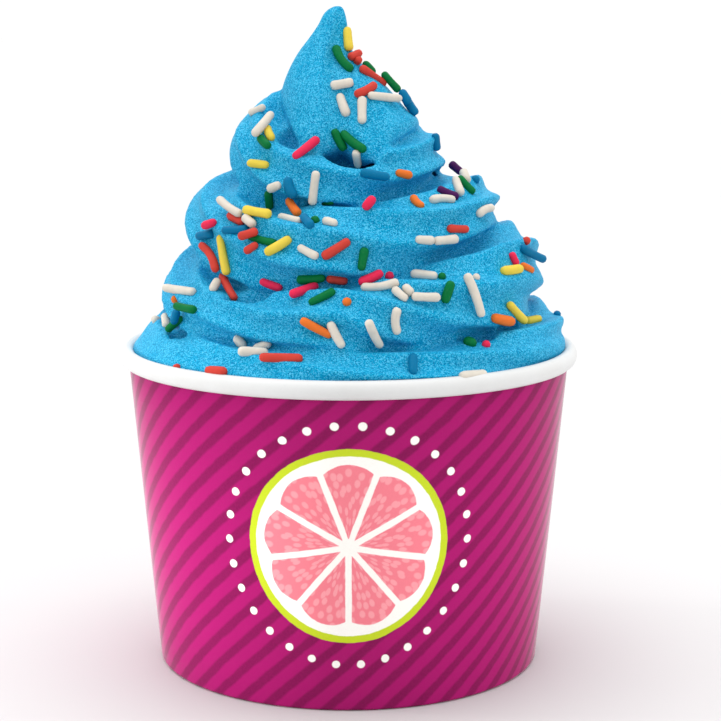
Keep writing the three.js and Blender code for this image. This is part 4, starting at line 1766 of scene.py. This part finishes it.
    def _near_rod(self, entry: Entry) -> Optional[Rod]:
        """Places one rod that the camera sees.

        Args:
            entry: The rod's x, y, length, slant and bend on the picture.

        Returns:
            The rod, or nothing if no yogurt is there.
        """
        x, y, pixels = entry[:3]
        for nudge in range(self.nudges):
            inwards = math.copysign(nudge, self.eye.centre_x - x)
            point, away = self.eye.meet(self.tree, x + inwards, y + nudge * self.nudge_down)[:2]
            if point is not None:
                break
        else:
            return None
        view = self.eye.ray(x, y)
        if away.dot(view) > 0:
            away = -away
        mix = x * self.plump_mix[0] + y * self.plump_mix[1]
        radius = self.radius * (1 + self.plumpness * math.sin(mix))
        if pixels < self.stub_pixels:
            along = (view * self.stub_aim[0] - away * self.stub_aim[1]).normalized()
            middle = point + along * (self.stub_length / 2 - radius * self.stub_proud)
            return Rod(middle, along, along.orthogonal().normalized(), self.stub_length, radius, 0)
        return self._lie_in_view(entry, point, away, radius)

    def _lie_in_view(self, entry: Entry, point: Vector, away: Vector, radius: float) -> Rod:
        """Lays a rod on the yogurt so that the camera sees it just as its entry says.

        Args:
            entry: The rod's x, y, length, slant and bend on the picture.
            point: The point of yogurt behind the rod's middle.
            away: The surface's normal there.
            radius: The rod's radius.

        Returns:
            The rod.
        """
        x, y, pixels, slant, bend = entry
        eye, place = self.eye, self.eye.place()
        forward = eye.axes()[2]
        turn = math.radians(slant)
        depth = (point - place).dot(forward)
        pairs = []
        for share in self.stations:
            step = share * pixels
            hit = eye.meet(self.tree, x + step * math.cos(turn), y + step * math.sin(turn))
            if hit[0] is not None:
                pairs.append((step * depth / eye.focal, (hit[0] - place).dot(forward)))
        nearest = min((there for _, there in pairs), default=depth)
        kept = [pair for pair in pairs if pair[1] < nearest + self.deepest]
        slope = steepness(kept, self.least_spread_near, self.steepest_near)
        rest = min((there - slope * station for station, there in kept), default=depth)
        ends = []
        for half in (-pixels / 2, pixels / 2):
            ray = eye.ray(x + half * math.cos(turn), y + half * math.sin(turn))
            ends.append(place + ray * ((rest + slope * half * depth / eye.focal) / ray.dot(forward)))
        whole = ends[1] - ends[0]
        along, length = whole.normalized(), whole.length
        view = eye.ray(x, y)
        lift = radius * (1 - 2 * self.sunk) / max(self.flattest, -away.dot(view))
        middle = (ends[0] + ends[1]) / 2 - view * lift
        for step in range(self.lift_tries if away.z < self.overhang else 0):
            forwards = middle - view * (self.lift_step * step)
            if self.tree.ray_cast(forwards, Vector((0, 0, -1)), 2 * radius)[0] is not None:
                middle = forwards
                break
        outward = (away - along * away.dot(along)).normalized()
        return Rod(middle, along, outward, min(self.longest, max(self.shortest, length)), radius, bend)

    def _covered(self, mark: Vector, margin: float = 0.0) -> bool:
        """Whether yogurt hides a point, and all points within a margin of it, from the camera.

        Args:
            mark: The point.
            margin: The margin in millimetres.

        Returns:
            Whether it does.
        """
        right, up, _ = self.eye.axes()
        for side, rise in ((0, 0), (margin, 0), (-margin, 0), (0, margin), (0, -margin)):
            sight = mark + right * side + up * rise - self.eye.place()
            hit = self.tree.ray_cast(self.eye.place(), sight.normalized())
            if hit[0] is None or hit[3] > sight.length:
                return False
        return True

    def _out_of_sight(self, point: Vector, away: Vector) -> bool:
        """Whether the camera sees neither a place of the yogurt nor a rod that lies on it.

        Args:
            point: The place.
            away: The surface's normal there.

        Returns:
            Whether both are hidden.
        """
        seen = self.tree.ray_cast(self.eye.place(), (point - self.eye.place()).normalized())[0]
        in_view = seen is not None and (seen - point).length < self.seen_within
        return not in_view and self._covered(point + away * self.clearance)

    def _far_rods(self) -> Iterator[Rod]:
        """Scatters the rods that the camera doesn't see.

        Yields:
            Each rod once it lies.
        """
        chance = random.Random(self.seed)
        faces = self.swirl.data.polygons
        centres, normals = Bench.read(faces, "center", 3) / MM, Bench.read(faces, "normal", 3)
        usable = (centres[:, 2] > self.lowest) & (normals[:, 2] > self.far_down)
        likeliness = usable * (self.far_level + np.clip(normals[:, 2], 0, 1))
        totals = np.cumsum(Bench.read(faces, "area", 1)[:, 0] * likeliness)
        goal = len(self.laid) + self.far_count
        for _ in range(self.far_tries):
            if len(self.laid) >= goal:
                return
            index = int(np.searchsorted(totals, chance.random() * totals[-1]))
            point, away = Vector(centres[index]), Vector(normals[index])
            if not self._out_of_sight(point, away):
                continue
            close = min(((point - rod.middle).length for rod in self.laid), default=math.inf)
            if close < self.spacing and chance.random() > self.cluster_share:
                continue
            if close < self.nearest:
                continue
            spin = chance.uniform(0, TURN)
            first = away.orthogonal().normalized()
            along = first * math.cos(spin) + away.cross(first) * math.sin(spin)
            length = chance.uniform(*self.far_lengths)
            middle, along, away = self._settle(point, away, along, length)
            bend = chance.choice(self.far_bends) * chance.uniform(*self.far_bend_shares)
            radius = self.radius * chance.uniform(*self.far_radius_shares)
            rod = Rod(middle, along, away, length, radius, bend)
            self._lay(rod)
            if all(self._covered(mark, 2 * rod.radius) for mark in rod.marks()):
                self.laid.append(rod)
                yield rod

    def place(self) -> List[Piece]:
        """Lays all sprinkles and hands over one piece a colour.

        Returns:
            The sprinkles, one piece a colour.
        """
        rods: Dict[Sugar, List[Rod]] = {sugar: [] for sugar in Sugar}
        for sugar, entries in NEAR_RODS.items():
            for entry in entries:
                rod = self._near_rod(entry)
                if rod is None:
                    LOG.warning("no yogurt at %s", entry)
                    continue
                self._lay(rod, (self.eye.place() - rod.middle).normalized())
                self.laid.append(rod)
                rods[sugar].append(rod)
        shares = [len(entries) for entries in NEAR_RODS.values()]
        chance = random.Random(self.seed + 1)
        for rod in self._far_rods():
            rods[chance.choices(list(NEAR_RODS), shares)[0]].append(rod)
        template = self._template()
        pieces = []
        for sugar, group in rods.items():
            word = sugar.name.lower()
            copies = [self._shape(template, rod, 100 * index + len(group)) for index, rod in enumerate(group)]
            piece = Bench.join(copies, f"sprinkles_{word}")
            piece.data.materials.append(SugarFinish(f"sugar_{word}", sugar.value).material())
            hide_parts("yogurt")
            pieces.append(piece)
            LOG.info("%s: %d rods", piece.name, len(group))
        bpy.data.objects.remove(template)
        return pieces


# ---- the scene


def main() -> None:
    """Builds the cup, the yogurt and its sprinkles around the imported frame."""
    logging.basicConfig(level=logging.INFO, format="%(name)s: %(message)s")
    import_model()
    eye = Eye()
    eye.add()
    cup = PaperCup()
    pieces = cup.place()
    yogurt = Swirl(cup).place()
    pieces += yogurt
    pieces += Sprinkles(yogurt[0], eye).place()
    for piece in pieces:
        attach(piece, "root")
        piece.data.calc_loop_triangles()
        LOG.info("%s: %d triangles", piece.name, len(piece.data.loop_triangles))
    Studio().place()


if __name__ == "__main__":
    main()
